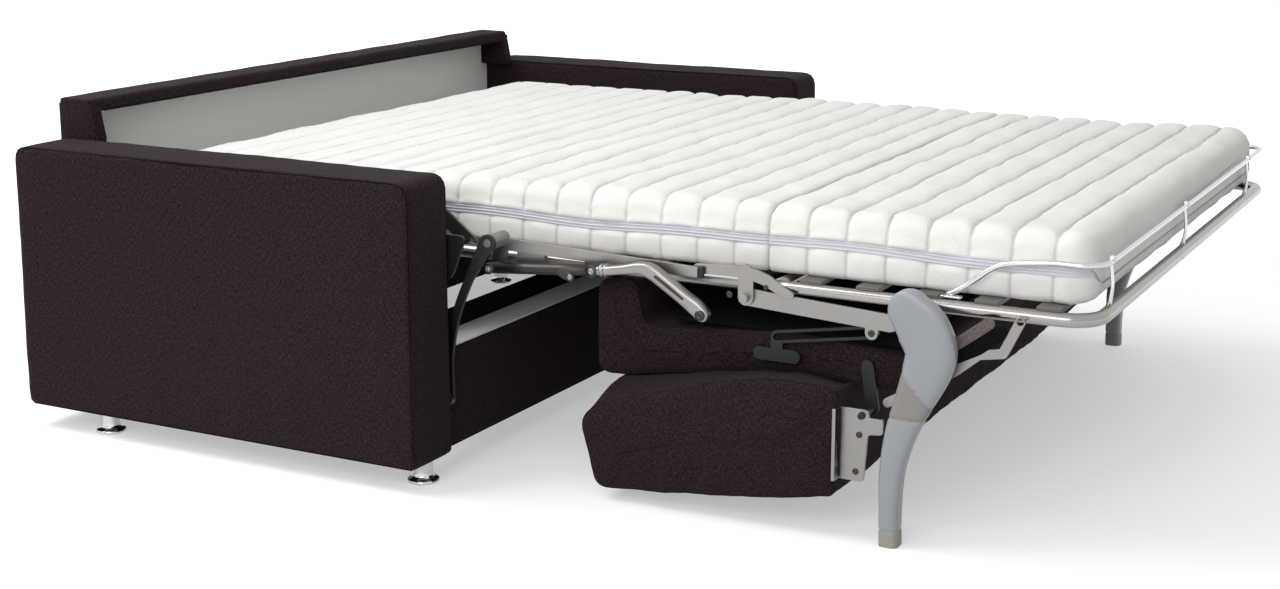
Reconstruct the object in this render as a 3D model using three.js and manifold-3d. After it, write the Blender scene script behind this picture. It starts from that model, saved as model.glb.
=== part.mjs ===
// Sleeper sofa with its bed pulled out, in millimetres, +Z up, the front toward -Y.
// Y is counted from the rear wall of the sofa, negative toward the front; the last step moves the part
// so that its middle lies at Y zero. Left means -X, as seen by someone who looks at the front.
import * as THREE from 'three';
import { mergeVertices } from 'three/addons/utils/BufferGeometryUtils.js';
import Module from 'manifold-3d';

const wasm = await Module();
wasm.setup();

// Clearances and counts of facets
const clearance = 0.3;
const runningGap = 0.6;
const overrun = 5;
const roundSides = 14;
const capSteps = 6;

// Bed: mattress, slatted frames and the lines where they fold
const bedWidth = 1400;
const mattressHeadY = -186;
const mattressFootY = -2175;
const mattressBottom = 447;
const mattressThickness = 125;
const channelPitch = 75;
const channelDepth = 8;
const mattressEdge = 16;
const headHingeY = -856.2;
const headGap = 9.5;
const footHingeY = -1578.2;
const foldGap = 1;
const foldRise = 2;
const tubeSize = 25;
const tubeGap = 15;
const tubeTop = 442;
const frameEndSetback = 60;
const frameFoldSetback = 20;
const frameHeadSetback = 10;
const footTubeReach = 25;
const footTubeBend = 45;
const latheWidth = 44;
const latheThickness = 9;
const lathePitch = 105;
const earGap = 3;
const earThickness = 5;
const earWidth = 30;

// Thicknesses of the side gear, from the bed outward
const barThickness = 6;
const plateThickness = 6;
const railThickness = 6.8;
const legGap = 4;
const legThickness = 40;
const rivetReach = 11.4;
const tubeLayerGap = 2;
const tubeLayer = 27;
const swingGap = 10;
const swingThickness = 7;
const crankThickness = 7;
const sidePlateThickness = 6;

// Pivots of the side gear
const liftPivotY = -530.8;
const liftPivotZ = 351.3;
const lowPivotY = -952.9;
const lowPivotZ = 154.2;
const knucklePivotY = -1051;
const knucklePivotZ = 470;
const drivePivotY = -1041;
const drivePivotZ = 416;
const elbowPivotY = -1266;
const elbowPivotZ = 434.7;
const armEndY = -1490;
const armEndZ = 377;
const barPinY = -1560;
const barPinZ = 409;
const slidePinY = -1800;
const slidePinZ = 370;
const backHingeY = -1803;
const backHingeZ = 232.5;
const legPivotY = -1887;
const legPivotZ = 425;
const strutPivotY = -2067;
const strutPivotZ = 423;
const strutEndY = -1835;
const strutEndZ = 250;
const pinRadius = 6;
const bigPinRadius = 8;
const bossRadius = 15;

// Sofa body
const armWidth = 140;
const armDepth = 976;
const armTop = 600;
const bodyBottom = 50;
const armEdge = 30;
const armCorner = 12;
const backTop = 685;
const backBoard = 12;
const liningThickness = 5;
const beamThickness = 18;
const beamDepth = 84;
const cheekDepth = 104;
const cheekBottom = 592;
const cheekWidth = 30;
const softEdge = 6;
const railSetback = 22;
const railDepth = 70;
const railTop = 255;
const railNotchTop = 125;
const railNotchWidth = 30;
const linerThickness = 4;
const lipThickness = 4;
const lipTop = 256;
const lipInset = 60;
const sillDepth = 182;
const sillThickness = 16;

// Feet
const footDiscRadius = 31.5;
const footDiscHeight = 8;
const footStemRadius = 19;
const footPlateRadius = 24;
const footPlateHeight = 4;
const frontFootInset = 45;
const frontFootSetback = 41;
const rearFootInset = 83;
const rearFootY = -173;
const innerFootX = 650;
const innerFootY = -165;

// Seat and backrest
const seatCrown = 5;
const seatCorner = 22;
const seatRearY = -1262;
const seatFrontY = -1868;
const seatTop = 345;
const seatBottomRear = 238;
const seatBottomMiddle = 282;
const seatBottomFront = 284;
const seatArch = 360;
const lobeTop = 405;
const lobeDepth = 72;
const seatNose = 28;
const seatNoseDepth = 38;
const boardThickness = 9;
const boardInset = 20;
const bracketWidth = 34;
const slideReach = 183.2;
const slideRise = 30;
const slideBand = 24;
const backHalf = 820;
const backCrown = 5;
const backCorner = 20;
const backFrontY = -1760;
const backTopZ = 268;
const backShoulder = 160;
const backRearTop = 234;
const backRearSlope = 90;
const backLowFront = 75;
const backLowRear = 12;
const backRearHigh = 172;
const backRearY = -1255;
const backRearLean = 15;
const hingeLeaf = 6;
const hingeLeafWidth = 26;
const hingePlateHeight = 132;
const hingePlateWidth = 34;
const hingeArmHeight = 28;

// Legs
const legHeight = 465;
const legFootY = -1856.6;
const legWidth = 94;
const legEdge = 8;
const legCapHeight = 30;
const coverThickness = 12;

// Retaining bail at the foot end
const bailRadius = 5;
const bailInset = 12.5;
const bailStartY = -1933;
const bailTop = 522;
const bailReach = 10;
const clipWidth = 30;
const clipThickness = 7;

// Worked-out places, shared by all pieces
const bedHalf = bedWidth / 2;
const mattressTop = mattressBottom + mattressThickness;
const mattressMiddle = mattressBottom + mattressThickness / 2;
const headRadius = mattressThickness / 2 - foldGap;
const foldAxisZ = mattressTop + foldRise;
const tubeRadius = tubeSize / 2;
const tubeX = bedHalf + tubeGap + tubeRadius;
const tubeZ = tubeTop - tubeRadius;
const latheTop = mattressMiddle - headRadius - clearance;
const footTubeY = mattressFootY - footTubeReach + tubeRadius;
const barInner = tubeX + tubeRadius + clearance;
const seatHalf = barInner - plateThickness - 2 * clearance;
const barOuter = barInner + barThickness;
const plateInner = barOuter + clearance;
const plateOuter = plateInner + plateThickness;
const railInner = plateOuter + clearance;
const railOuter = railInner + railThickness;
const legInner = plateOuter + legGap;
const legOuter = legInner + legThickness;
const rivetOuter = legInner + rivetReach;
const armTubeInner = rivetOuter + tubeLayerGap;
const armTubeOuter = armTubeInner + tubeLayer;
const swingInner = armTubeOuter + swingGap;
const swingOuter = swingInner + swingThickness;
const crankInner = swingOuter + clearance;
const crankOuter = crankInner + crankThickness;
const sidePlateInner = crankOuter + clearance;
const sidePlateOuter = sidePlateInner + sidePlateThickness;
const armInner = sidePlateOuter + clearance;
const armOuter = armInner + armWidth;
const liningFrontY = -backBoard - clearance - liningThickness;
const railFrontY = -armDepth + railSetback;
const railRearY = railFrontY + railDepth;
const frontFootY = -armDepth + frontFootSetback;
const railBodyTop = railTop - linerThickness - clearance;

// Colours taken from the photograph
function paint(name, color, roughness, metalness) {
  const material = new THREE.MeshStandardMaterial({ color, roughness, metalness });
  material.name = name;
  return material;
}
const upholstery = paint('upholstery', '#3b3138', 0.95, 0);
const lining = paint('lining', '#c4c5c1', 0.8, 0);
const ticking = paint('ticking', '#edecea', 0.9, 0);
const satinSteel = paint('satin_steel', '#a3a19d', 0.4, 0.9);
const darkSteel = paint('dark_steel', '#4a4846', 0.45, 0.8);
const chrome = paint('chrome', '#cfd0d2', 0.12, 1);
const legGrey = paint('leg_grey', '#b7c1c8', 0.4, 0);
const capGrey = paint('cap_grey', '#a9a69b', 0.6, 0);
const blackTrim = paint('black_trim', '#1b191b', 0.85, 0);

const group = new THREE.Group();
group.name = 'sleeper_sofa';

// Change between surface meshes and closed solids for the cuts and joins
function solid(geometry) {
  const bare = geometry.clone();
  bare.deleteAttribute('normal');
  bare.deleteAttribute('uv');
  const merged = mergeVertices(bare, 1e-4);
  const triVerts = new Uint32Array(merged.index.array);
  const vertProperties = new Float32Array(merged.attributes.position.array);
  return new wasm.Manifold(new wasm.Mesh({ numProp: 3, vertProperties, triVerts }));
}

function surface(body) {
  const mesh = body.getMesh();
  const geometry = new THREE.BufferGeometry();
  const stride = mesh.numProp;
  const count = mesh.vertProperties.length / stride;
  const positions = new Float32Array(count * 3);
  for (let i = 0; i < count; i += 1) {
    positions[3 * i] = mesh.vertProperties[stride * i];
    positions[3 * i + 1] = mesh.vertProperties[stride * i + 1];
    positions[3 * i + 2] = mesh.vertProperties[stride * i + 2];
  }
  geometry.setAttribute('position', new THREE.BufferAttribute(positions, 3));
  geometry.setIndex(Array.from(mesh.triVerts));
  geometry.computeVertexNormals();
  return geometry;
}

function join(list) {
  return list.reduce((sum, next) => sum.add(next));
}

// Basic shapes: block, plate cut from a side outline, pin, tube along a route, loft through rings
function block(x0, x1, y0, y1, z0, z1) {
  const geometry = new THREE.BoxGeometry(x1 - x0, y1 - y0, z1 - z0);
  geometry.translate((x0 + x1) / 2, (y0 + y1) / 2, (z0 + z1) / 2);
  return solid(geometry);
}

const sideView = new THREE.Matrix4().makeBasis(
  new THREE.Vector3(0, 1, 0),
  new THREE.Vector3(0, 0, 1),
  new THREE.Vector3(1, 0, 0),
);

function plate(outline, x0, x1, edge = 0, edgeSteps = 2) {
  const shape = new THREE.Shape(outline.map(([y, z]) => new THREE.Vector2(y, z)));
  const geometry = new THREE.ExtrudeGeometry(shape, {
    depth: x1 - x0 - 2 * edge,
    bevelEnabled: edge > 0,
    bevelThickness: edge,
    bevelSize: edge,
    bevelSegments: edgeSteps,
    steps: 1,
  });
  geometry.applyMatrix4(sideView);
  geometry.translate(x0 + edge, 0, 0);
  return solid(geometry);
}

function pin(y, z, radius, x0, x1, sides = roundSides) {
  const geometry = new THREE.CylinderGeometry(radius, radius, x1 - x0, sides);
  geometry.rotateZ(Math.PI / 2);
  geometry.translate((x0 + x1) / 2, y, z);
  return solid(geometry);
}

function crossTube(y, z, radius, x1, sides = roundSides) {
  return pin(y, z, radius, -x1, x1, sides);
}

function longTube(x, z, radius, y0, y1, sides = roundSides) {
  const geometry = new THREE.CylinderGeometry(radius, radius, y1 - y0, sides);
  geometry.translate(x, (y0 + y1) / 2, z);
  return solid(geometry);
}

function loft(rings) {
  const size = rings[0].length;
  const positions = [];
  const faces = [];
  for (const ring of rings) {
    for (const point of ring) positions.push(...point);
  }
  for (let r = 0; r + 1 < rings.length; r += 1) {
    for (let i = 0; i < size; i += 1) {
      const a = r * size + i;
      const b = r * size + ((i + 1) % size);
      faces.push(a, a + size, b, b, a + size, b + size);
    }
  }
  for (const last of [false, true]) {
    const ring = rings[last ? rings.length - 1 : 0];
    const base = last ? (rings.length - 1) * size : 0;
    const spread = (list) => Math.max(...list) - Math.min(...list);
    const onSide = spread(ring.map(([x]) => x)) < spread(ring.map(([, y]) => y));
    const flat = ring.map(([x, y, z]) => new THREE.Vector2(onSide ? y : x, z));
    const area = THREE.ShapeUtils.area(flat);
    for (const [a, b, c] of THREE.ShapeUtils.triangulateShape(flat, [])) {
      const follows = THREE.ShapeUtils.area([flat[a], flat[b], flat[c]]) * area > 0;
      if (follows !== last) faces.push(base + a, base + b, base + c);
      else faces.push(base + a, base + c, base + b);
    }
  }
  const geometry = new THREE.BufferGeometry();
  geometry.setAttribute('position', new THREE.Float32BufferAttribute(positions, 3));
  geometry.setIndex(faces);
  let body = solid(geometry);
  if (body.volume() < 0) {
    const flipped = [];
    for (let i = 0; i < faces.length; i += 3) flipped.push(faces[i], faces[i + 2], faces[i + 1]);
    geometry.setIndex(flipped);
    body = solid(geometry);
  }
  return body;
}

function routeTube(route, radius, sides) {
  const points = route.map((p) => new THREE.Vector3(...p));
  const rings = points.map((point, i) => {
    const before = points[Math.max(i - 1, 0)];
    const after = points[Math.min(i + 1, points.length - 1)];
    const ahead = after.clone().sub(before).normalize();
    const inward = i > 0 ? point.clone().sub(before).normalize() : ahead;
    const stretch = 1 / Math.max(Math.sqrt((1 + inward.dot(i + 1 < points.length
      ? after.clone().sub(point).normalize() : inward)) / 2), 0.5);
    const up = new THREE.Vector3(0, 0, 1);
    const across = ahead.clone().cross(up).normalize();
    const above = across.clone().cross(ahead).normalize();
    const ring = [];
    for (let s = 0; s < sides; s += 1) {
      const turn = (2 * Math.PI * (s + 0.5)) / sides;
      const place = point.clone()
        .addScaledVector(across, radius * Math.cos(turn) * stretch)
        .addScaledVector(above, radius * Math.sin(turn));
      ring.push(place.toArray());
    }
    return ring;
  });
  return loft(rings);
}

// Outlines in the side view: rounded polygon, ribbon of changing width, disc
function rounded(points, radius, steps = 4) {
  const outline = [];
  const size = points.length;
  points.forEach(([y, z], i) => {
    const from = new THREE.Vector2(...points[(i + size - 1) % size]);
    const to = new THREE.Vector2(...points[(i + 1) % size]);
    const corner = new THREE.Vector2(y, z);
    const a = from.clone().sub(corner);
    const b = to.clone().sub(corner);
    const reach = Math.min(radius, a.length() * 0.45, b.length() * 0.45);
    const start = corner.clone().addScaledVector(a.normalize(), reach);
    const end = corner.clone().addScaledVector(b.normalize(), reach);
    for (let s = 0; s <= steps; s += 1) {
      const t = s / steps;
      const place = start.clone().multiplyScalar((1 - t) * (1 - t))
        .addScaledVector(corner, 2 * t * (1 - t))
        .addScaledVector(end, t * t);
      outline.push([place.x, place.y]);
    }
  });
  return outline;
}

function ribbon(route, widths, steps, flatStart = false) {
  const curve = new THREE.SplineCurve(route.map(([y, z]) => new THREE.Vector2(y, z)));
  const one = [];
  const other = [];
  for (let i = 0; i <= steps; i += 1) {
    const t = i / steps;
    const place = curve.getPoint(t);
    const ahead = curve.getTangent(t);
    const at = t * (widths.length - 1);
    const low = Math.min(Math.floor(at), widths.length - 2);
    const half = (widths[low] + (widths[low + 1] - widths[low]) * (at - low)) / 2;
    one.push([place.x - ahead.y * half, place.y + ahead.x * half]);
    other.push([place.x + ahead.y * half, place.y - ahead.x * half]);
  }
  const cap = (t, half, turnStart) => {
    const centre = curve.getPoint(t);
    const points = [];
    for (let s = 1; s < capSteps; s += 1) {
      const turn = turnStart - (Math.PI * s) / capSteps;
      points.push([centre.x + half * Math.cos(turn), centre.y + half * Math.sin(turn)]);
    }
    return points;
  };
  const endAhead = curve.getTangent(1);
  const startAhead = curve.getTangent(0);
  const endTurn = Math.atan2(endAhead.x, -endAhead.y);
  const startTurn = Math.atan2(-startAhead.x, startAhead.y);
  const endCap = cap(1, widths[widths.length - 1] / 2, endTurn);
  const startCap = flatStart ? [] : cap(0, widths[0] / 2, startTurn);
  return [...one, ...endCap, ...other.reverse(), ...startCap].reverse();
}

function disc(y, z, radius, sides = 20) {
  const outline = [];
  for (let s = 0; s < sides; s += 1) {
    const turn = (2 * Math.PI * s) / sides;
    outline.push([y + radius * Math.cos(turn), z + radius * Math.sin(turn)]);
  }
  return outline;
}

function strap(y0, z0, y1, z1, width, x0, x1) {
  return plate(ribbon([[y0, z0], [y1, z1]], [width, width], 1), x0, x1);
}

// Soft piece: one outline swept across the sofa, crowned in the middle and drawn in at both ends
function swollen(outline, amount) {
  const ys = outline.map(([y]) => y);
  const zs = outline.map(([, z]) => z);
  const [lowY, highY, lowZ, highZ] = [Math.min(...ys), Math.max(...ys), Math.min(...zs), Math.max(...zs)];
  const stretchY = 1 + (2 * amount) / (highY - lowY);
  const stretchZ = 1 + (2 * amount) / (highZ - lowZ);
  const middleY = (lowY + highY) / 2;
  const middleZ = (lowZ + highZ) / 2;
  return outline.map(([y, z]) => [
    middleY + (y - middleY) * stretchY,
    middleZ + (z - middleZ) * stretchZ,
  ]);
}

function softLoft(outline, half, stations) {
  const ordered = THREE.ShapeUtils.area(outline.map(([y, z]) => new THREE.Vector2(y, z))) > 0
    ? outline : outline.slice().reverse();
  const oneSide = stations.map(([inset, amount]) => [-half + inset, amount]);
  const otherSide = stations.slice().reverse().map(([inset, amount]) => [half - inset, amount]);
  const rings = [...oneSide, ...otherSide]
    .filter(([x], i, list) => i === 0 || x > list[i - 1][0] + 1e-6)
    .map(([x, amount]) => swollen(ordered, amount).map(([y, z]) => [x, y, z]));
  return loft(rings);
}

// Put a finished piece into the part, or a pair of them, mirrored
function add(name, body, material) {
  const mesh = new THREE.Mesh(surface(body), material);
  mesh.name = name;
  group.add(mesh);
}

function addPair(name, body, material) {
  add(`${name}_right`, body, material);
  add(`${name}_left`, body.mirror([1, 0, 0]), material);
}

// Arms: upholstered slabs with soft edges and a flat underside
function buildArms() {
  const outline = rounded([
    [-armDepth + armEdge, bodyBottom - armEdge],
    [-armEdge, bodyBottom - armEdge],
    [-armEdge, armTop - armEdge],
    [-armDepth + armEdge, armTop - armEdge],
  ], armCorner);
  const whole = plate(outline, armInner, armOuter, armEdge, 4);
  const below = block(
    armInner - overrun,
    armOuter + overrun,
    -armDepth - overrun,
    overrun,
    bodyBottom - 2 * armEdge - overrun,
    bodyBottom,
  );
  addPair('arm', whole.subtract(below), upholstery);
}

// Back: board, light lining of the recess, top beam and the two end cheeks
function buildBack() {
  const half = armInner - clearance;
  add('back_board', block(-half, half, -backBoard, 0, bodyBottom, backTop), upholstery);
  const beamBottom = backTop - beamThickness;
  add('back_lining', block(
    -half,
    half,
    liningFrontY,
    liningFrontY + liningThickness,
    bodyBottom + sillThickness + clearance,
    beamBottom - clearance,
  ), lining);
  const lean = (cheekDepth - beamDepth) / (beamBottom - cheekBottom);
  const beam = plate(rounded([
    [-beamDepth - lean * beamThickness + softEdge, beamBottom + softEdge],
    [-backBoard - clearance - softEdge, beamBottom + softEdge],
    [-backBoard - clearance - softEdge, backTop - softEdge],
    [-beamDepth + softEdge, backTop - softEdge],
  ], softEdge / 2, 2), -half, half, softEdge, 2);
  add('back_top_beam', beam, upholstery);
  const cheek = plate([
    [-cheekDepth, cheekBottom],
    [liningFrontY - clearance, cheekBottom],
    [liningFrontY - clearance, beamBottom - clearance],
    [-beamDepth - lean * beamThickness, beamBottom - clearance],
  ], half - cheekWidth, half);
  addPair('back_cheek', cheek, upholstery);
}

// Front rail with its light liner on top and the black strip behind it, and the rear sill
function buildRails() {
  const half = armInner - clearance;
  const rail = block(-half, half, railFrontY, railRearY, bodyBottom, railBodyTop);
  const notch = block(
    half - railNotchWidth,
    half + overrun,
    railFrontY - overrun,
    railRearY + overrun,
    railNotchTop,
    railBodyTop + overrun,
  );
  add('front_rail', rail.subtract(notch).subtract(notch.mirror([1, 0, 0])), upholstery);
  const linerHalf = half - railNotchWidth;
  add('front_rail_liner', block(
    -linerHalf,
    linerHalf,
    railFrontY,
    railRearY,
    railTop - linerThickness,
    railTop,
  ), lining);
  const lipHalf = linerHalf - lipInset;
  add('front_rail_lip', block(
    -lipHalf,
    lipHalf,
    railRearY + clearance,
    railRearY + clearance + lipThickness,
    bodyBottom,
    lipTop,
  ), blackTrim);
  add('rear_sill', block(
    -half,
    half,
    -backBoard - clearance - sillDepth,
    -backBoard - clearance,
    bodyBottom,
    bodyBottom + sillThickness,
  ), upholstery);
}

// Six turned feet: disc, stem and top plate
function buildFoot(x, y) {
  const top = bodyBottom - clearance;
  const stemTop = top - footPlateHeight;
  const neck = footDiscHeight + (footDiscRadius - footStemRadius) / 4;
  const profile = [
    [0, 0],
    [footDiscRadius, 0],
    [footDiscRadius, footDiscHeight * 0.7],
    [footDiscRadius * 0.92, footDiscHeight],
    [footStemRadius * 1.1, neck],
    [footStemRadius, neck + footDiscHeight / 2],
    [footStemRadius, stemTop],
    [footPlateRadius, stemTop],
    [footPlateRadius, top],
    [0, top],
  ].map(([r, z]) => new THREE.Vector2(r, z));
  const geometry = new THREE.LatheGeometry(profile, roundSides);
  geometry.rotateX(Math.PI / 2);
  geometry.translate(x, y, 0);
  return solid(geometry);
}

function buildFeet() {
  addPair('foot_front', buildFoot(armInner + frontFootInset, frontFootY), chrome);
  addPair('foot_rear', buildFoot(armInner + rearFootInset, rearFootY), chrome);
  addPair('foot_inner', buildFoot(innerFootX, innerFootY), chrome);
}

// Side plates on the arms, cranks and swing arms: they lift the bed out of the base
const plateNoseReach = 38;
const plateTailReach = 50;
const plateNoseY = knucklePivotY + plateNoseReach;
const plateRearY = liftPivotY + plateTailReach;
const plateTop = 482;
const plateNoseBottom = 396;
const plateDepth = 34;

function buildLift() {
  const outline = rounded([
    [plateNoseY, plateTop],
    [plateNoseY + plateDepth, plateNoseBottom],
    [liftPivotY - plateDepth, liftPivotZ - plateDepth],
    [plateRearY, liftPivotZ - plateDepth],
    [plateRearY, plateTop],
  ], bossRadius, 3);
  const bore = pin(
    liftPivotY,
    liftPivotZ,
    bigPinRadius + runningGap,
    sidePlateInner - overrun,
    sidePlateOuter + overrun,
  );
  addPair('side_plate', plate(outline, sidePlateInner, sidePlateOuter).subtract(bore), darkSteel);

  const crankWidth = 34;
  const crank = join([
    strap(liftPivotY, liftPivotZ, lowPivotY, lowPivotZ, crankWidth, crankInner, crankOuter),
    pin(liftPivotY, liftPivotZ, bigPinRadius, crankInner, sidePlateOuter - clearance),
    pin(lowPivotY, lowPivotZ, bigPinRadius, swingInner, crankOuter),
  ]);
  addPair('crank', crank, darkSteel);

  const swingBow = 26;
  const swingWidth = 34;
  const swingNeckShare = 0.5;
  const lean = new THREE.Vector2(knucklePivotY - lowPivotY, knucklePivotZ - lowPivotZ);
  const side = new THREE.Vector2(lean.y, -lean.x).normalize().multiplyScalar(swingBow);
  const route = [0, 0.25, 0.5, 0.75, 1].map((share) => [
    lowPivotY + lean.x * share + side.x * Math.sin(Math.PI * share),
    lowPivotZ + lean.y * share + side.y * Math.sin(Math.PI * share),
  ]);
  const neck = swingWidth * swingNeckShare;
  const blade = plate(ribbon(route, [swingWidth, neck, neck, neck, swingWidth], 16), swingInner, swingOuter);
  const swing = blade
    .subtract(pin(knucklePivotY, knucklePivotZ, bigPinRadius + runningGap,
      swingInner - overrun, swingOuter + overrun))
    .subtract(pin(lowPivotY, lowPivotZ, bigPinRadius + runningGap,
      swingInner - overrun, swingOuter + overrun));
  addPair('swing_arm', swing, darkSteel);
}

// Mattress: three sections with crowned channels across the bed
function mattressOutline(y0, y1, roundRear, roundFront) {
  const crest = mattressTop;
  const length = y1 - y0;
  const channels = Math.max(Math.round(length / channelPitch), 2);
  const front = roundFront ? headRadius : mattressEdge;
  const rear = roundRear ? headRadius : mattressEdge;
  const outline = [];
  const arc = (y, radius, out) => {
    for (let s = 0; s <= capSteps; s += 1) {
      const turn = -Math.PI / 2 + (Math.PI * s) / capSteps;
      const rise = radius * Math.sin(turn);
      const low = radius < headRadius ? Math.sign(rise) * (headRadius - radius) : 0;
      outline.push([
        y + out * radius * Math.cos(turn),
        mattressMiddle + (out > 0 ? rise + low : -rise - low),
      ]);
    }
  };
  arc(y1 - rear, rear, 1);
  const steps = 4;
  for (let c = channels - 1; c >= 0; c -= 1) {
    for (let s = steps - 1; s >= 0; s -= 1) {
      const y = y0 + (length * (c + s / steps)) / channels;
      if (y > y1 - rear || y < y0 + front) continue;
      const swell = Math.sqrt(Math.sin((Math.PI * s) / steps));
      outline.push([y, crest - channelDepth * (1 - swell)]);
    }
  }
  arc(y0 + front, front, -1);
  return outline;
}

function mattressSection(y0, y1, roundRear, roundFront) {
  const outline = mattressOutline(y0, y1, roundRear, roundFront);
  const stations = [
    [0, -mattressEdge * 0.8],
    [mattressEdge * 0.15, -mattressEdge * 0.45],
    [mattressEdge * 0.5, -mattressEdge * 0.15],
    [mattressEdge, 0],
    [bedHalf, 0],
  ];
  return softLoft(outline, bedHalf, stations);
}

const middleRearY = headHingeY - headRadius - headGap;
const middleFrontY = footHingeY + foldGap;
const headFrontY = headHingeY - headRadius;
const footRearY = footHingeY - foldGap;

function buildMattress() {
  add('mattress_head', mattressSection(headFrontY, mattressHeadY, true, true), ticking);
  add('mattress_middle', mattressSection(middleFrontY, middleRearY, false, false), ticking);
  add('mattress_foot', mattressSection(mattressFootY, footRearY, false, false), ticking);
}

// Slatted frames: round tubes with flat laths across
function laths(y0, y1) {
  const count = Math.max(Math.round((y1 - y0) / lathePitch), 2);
  const list = [];
  for (let i = 0; i < count; i += 1) {
    const y = y0 + ((y1 - y0) * (i + 0.5)) / count;
    list.push(block(-tubeX, tubeX, y - latheWidth / 2, y + latheWidth / 2, latheTop - latheThickness, latheTop));
  }
  return list;
}

function ladder(y0, y1) {
  return join([
    longTube(tubeX, tubeZ, tubeRadius, y0, y1),
    longTube(-tubeX, tubeZ, tubeRadius, y0, y1),
    crossTube(y0 + tubeRadius, tubeZ, tubeRadius, tubeX),
    crossTube(y1 - tubeRadius, tubeZ, tubeRadius, tubeX),
    ...laths(y0 + tubeSize, y1 - tubeSize),
  ]);
}

function mirroredPair(body) {
  return body.add(body.mirror([1, 0, 0]));
}

function buildFrames() {
  const middleRear = middleRearY - frameHeadSetback;
  const middleFront = footHingeY + frameFoldSetback;
  const earInner = bedHalf + earGap;
  const earOuter = earInner + earThickness;
  const earBaseY = middleRear - tubeSize;
  const middleEar = join([
    strap(earBaseY, tubeZ, headHingeY, mattressMiddle, earWidth, earInner, earOuter),
    block(earInner, tubeX, earBaseY - earWidth / 2, earBaseY + earWidth / 2, tubeZ - tubeRadius / 2,
      tubeZ + tubeRadius / 2),
    pin(headHingeY, mattressMiddle, pinRadius, earInner, tubeX),
  ]);
  add('middle_frame', ladder(middleFront, middleRear).add(mirroredPair(middleEar)), satinSteel);
  const headEnd = mattressHeadY - frameEndSetback;
  const headEar = strap(headHingeY + tubeSize, tubeZ, headHingeY, mattressMiddle, earWidth,
    earOuter + clearance, tubeX)
    .subtract(pin(headHingeY, mattressMiddle, pinRadius + runningGap, earInner, tubeX + overrun));
  add('head_frame', ladder(headHingeY, headEnd).add(mirroredPair(headEar)), satinSteel);
  const start = footHingeY - frameFoldSetback;
  const route = [[tubeX, start, tubeZ]];
  for (let s = 0; s <= capSteps; s += 1) {
    const turn = (Math.PI / 2) * (s / capSteps);
    route.push([
      tubeX - footTubeBend + footTubeBend * Math.cos(turn),
      footTubeY + footTubeBend - footTubeBend * Math.sin(turn),
      tubeZ,
    ]);
  }
  const wholeRoute = [...route, ...route.slice().reverse().map(([x, y, z]) => [-x, y, z])];
  const frame = join([
    routeTube(wholeRoute, tubeRadius, roundSides),
    crossTube(start - tubeRadius, tubeZ, tubeRadius, tubeX),
    ...laths(footTubeY + footTubeBend / 2, start - tubeSize),
    pin(strutPivotY, strutPivotZ, pinRadius, tubeX, plateOuter + clearance),
    pin(strutPivotY, strutPivotZ, pinRadius, -plateOuter - clearance, -tubeX),
  ]);
  add('foot_frame', frame, satinSteel);
}

// Side rails of the middle part, with the knuckle plate that carries the swing arm and the drive tube
const railHeight = 24;
const railRearZ = 460;
const railFrontEndY = -1466;
const railFrontEndZ = 447;
const railSeatZ = 436;

function buildSideRails() {
  const bar = plate([
    [knucklePivotY, railRearZ + railHeight / 2],
    [knucklePivotY, railRearZ - railHeight / 2],
    [railFrontEndY, railFrontEndZ - railHeight * 0.4],
    [railFrontEndY, railFrontEndZ + railHeight * 0.4],
  ], railInner, railOuter);
  const hanger = strap(knucklePivotY, knucklePivotZ, drivePivotY, drivePivotZ, 2 * bossRadius, railInner, railOuter);
  const lugDepth = 60;
  const lug = (y) => block(barInner, railInner + clearance, y - lugDepth / 2, y + lugDepth / 2,
    railSeatZ - tubeRadius, railSeatZ + tubeRadius);
  const rail = join([
    bar,
    hanger,
    plate(disc(railFrontEndY, railFrontEndZ, railHeight * 0.4), railInner, railOuter),
    pin(knucklePivotY, knucklePivotZ, bossRadius, railOuter - clearance, swingInner - clearance),
    pin(knucklePivotY, knucklePivotZ, bigPinRadius, swingInner - 2 * clearance, swingOuter - clearance),
    pin(drivePivotY, drivePivotZ, pinRadius, railOuter - clearance, armTubeOuter),
    lug(knucklePivotY - lugDepth),
    lug((knucklePivotY + railFrontEndY) / 2),
  ]);
  addPair('side_rail', rail, satinSteel);
}

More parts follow.
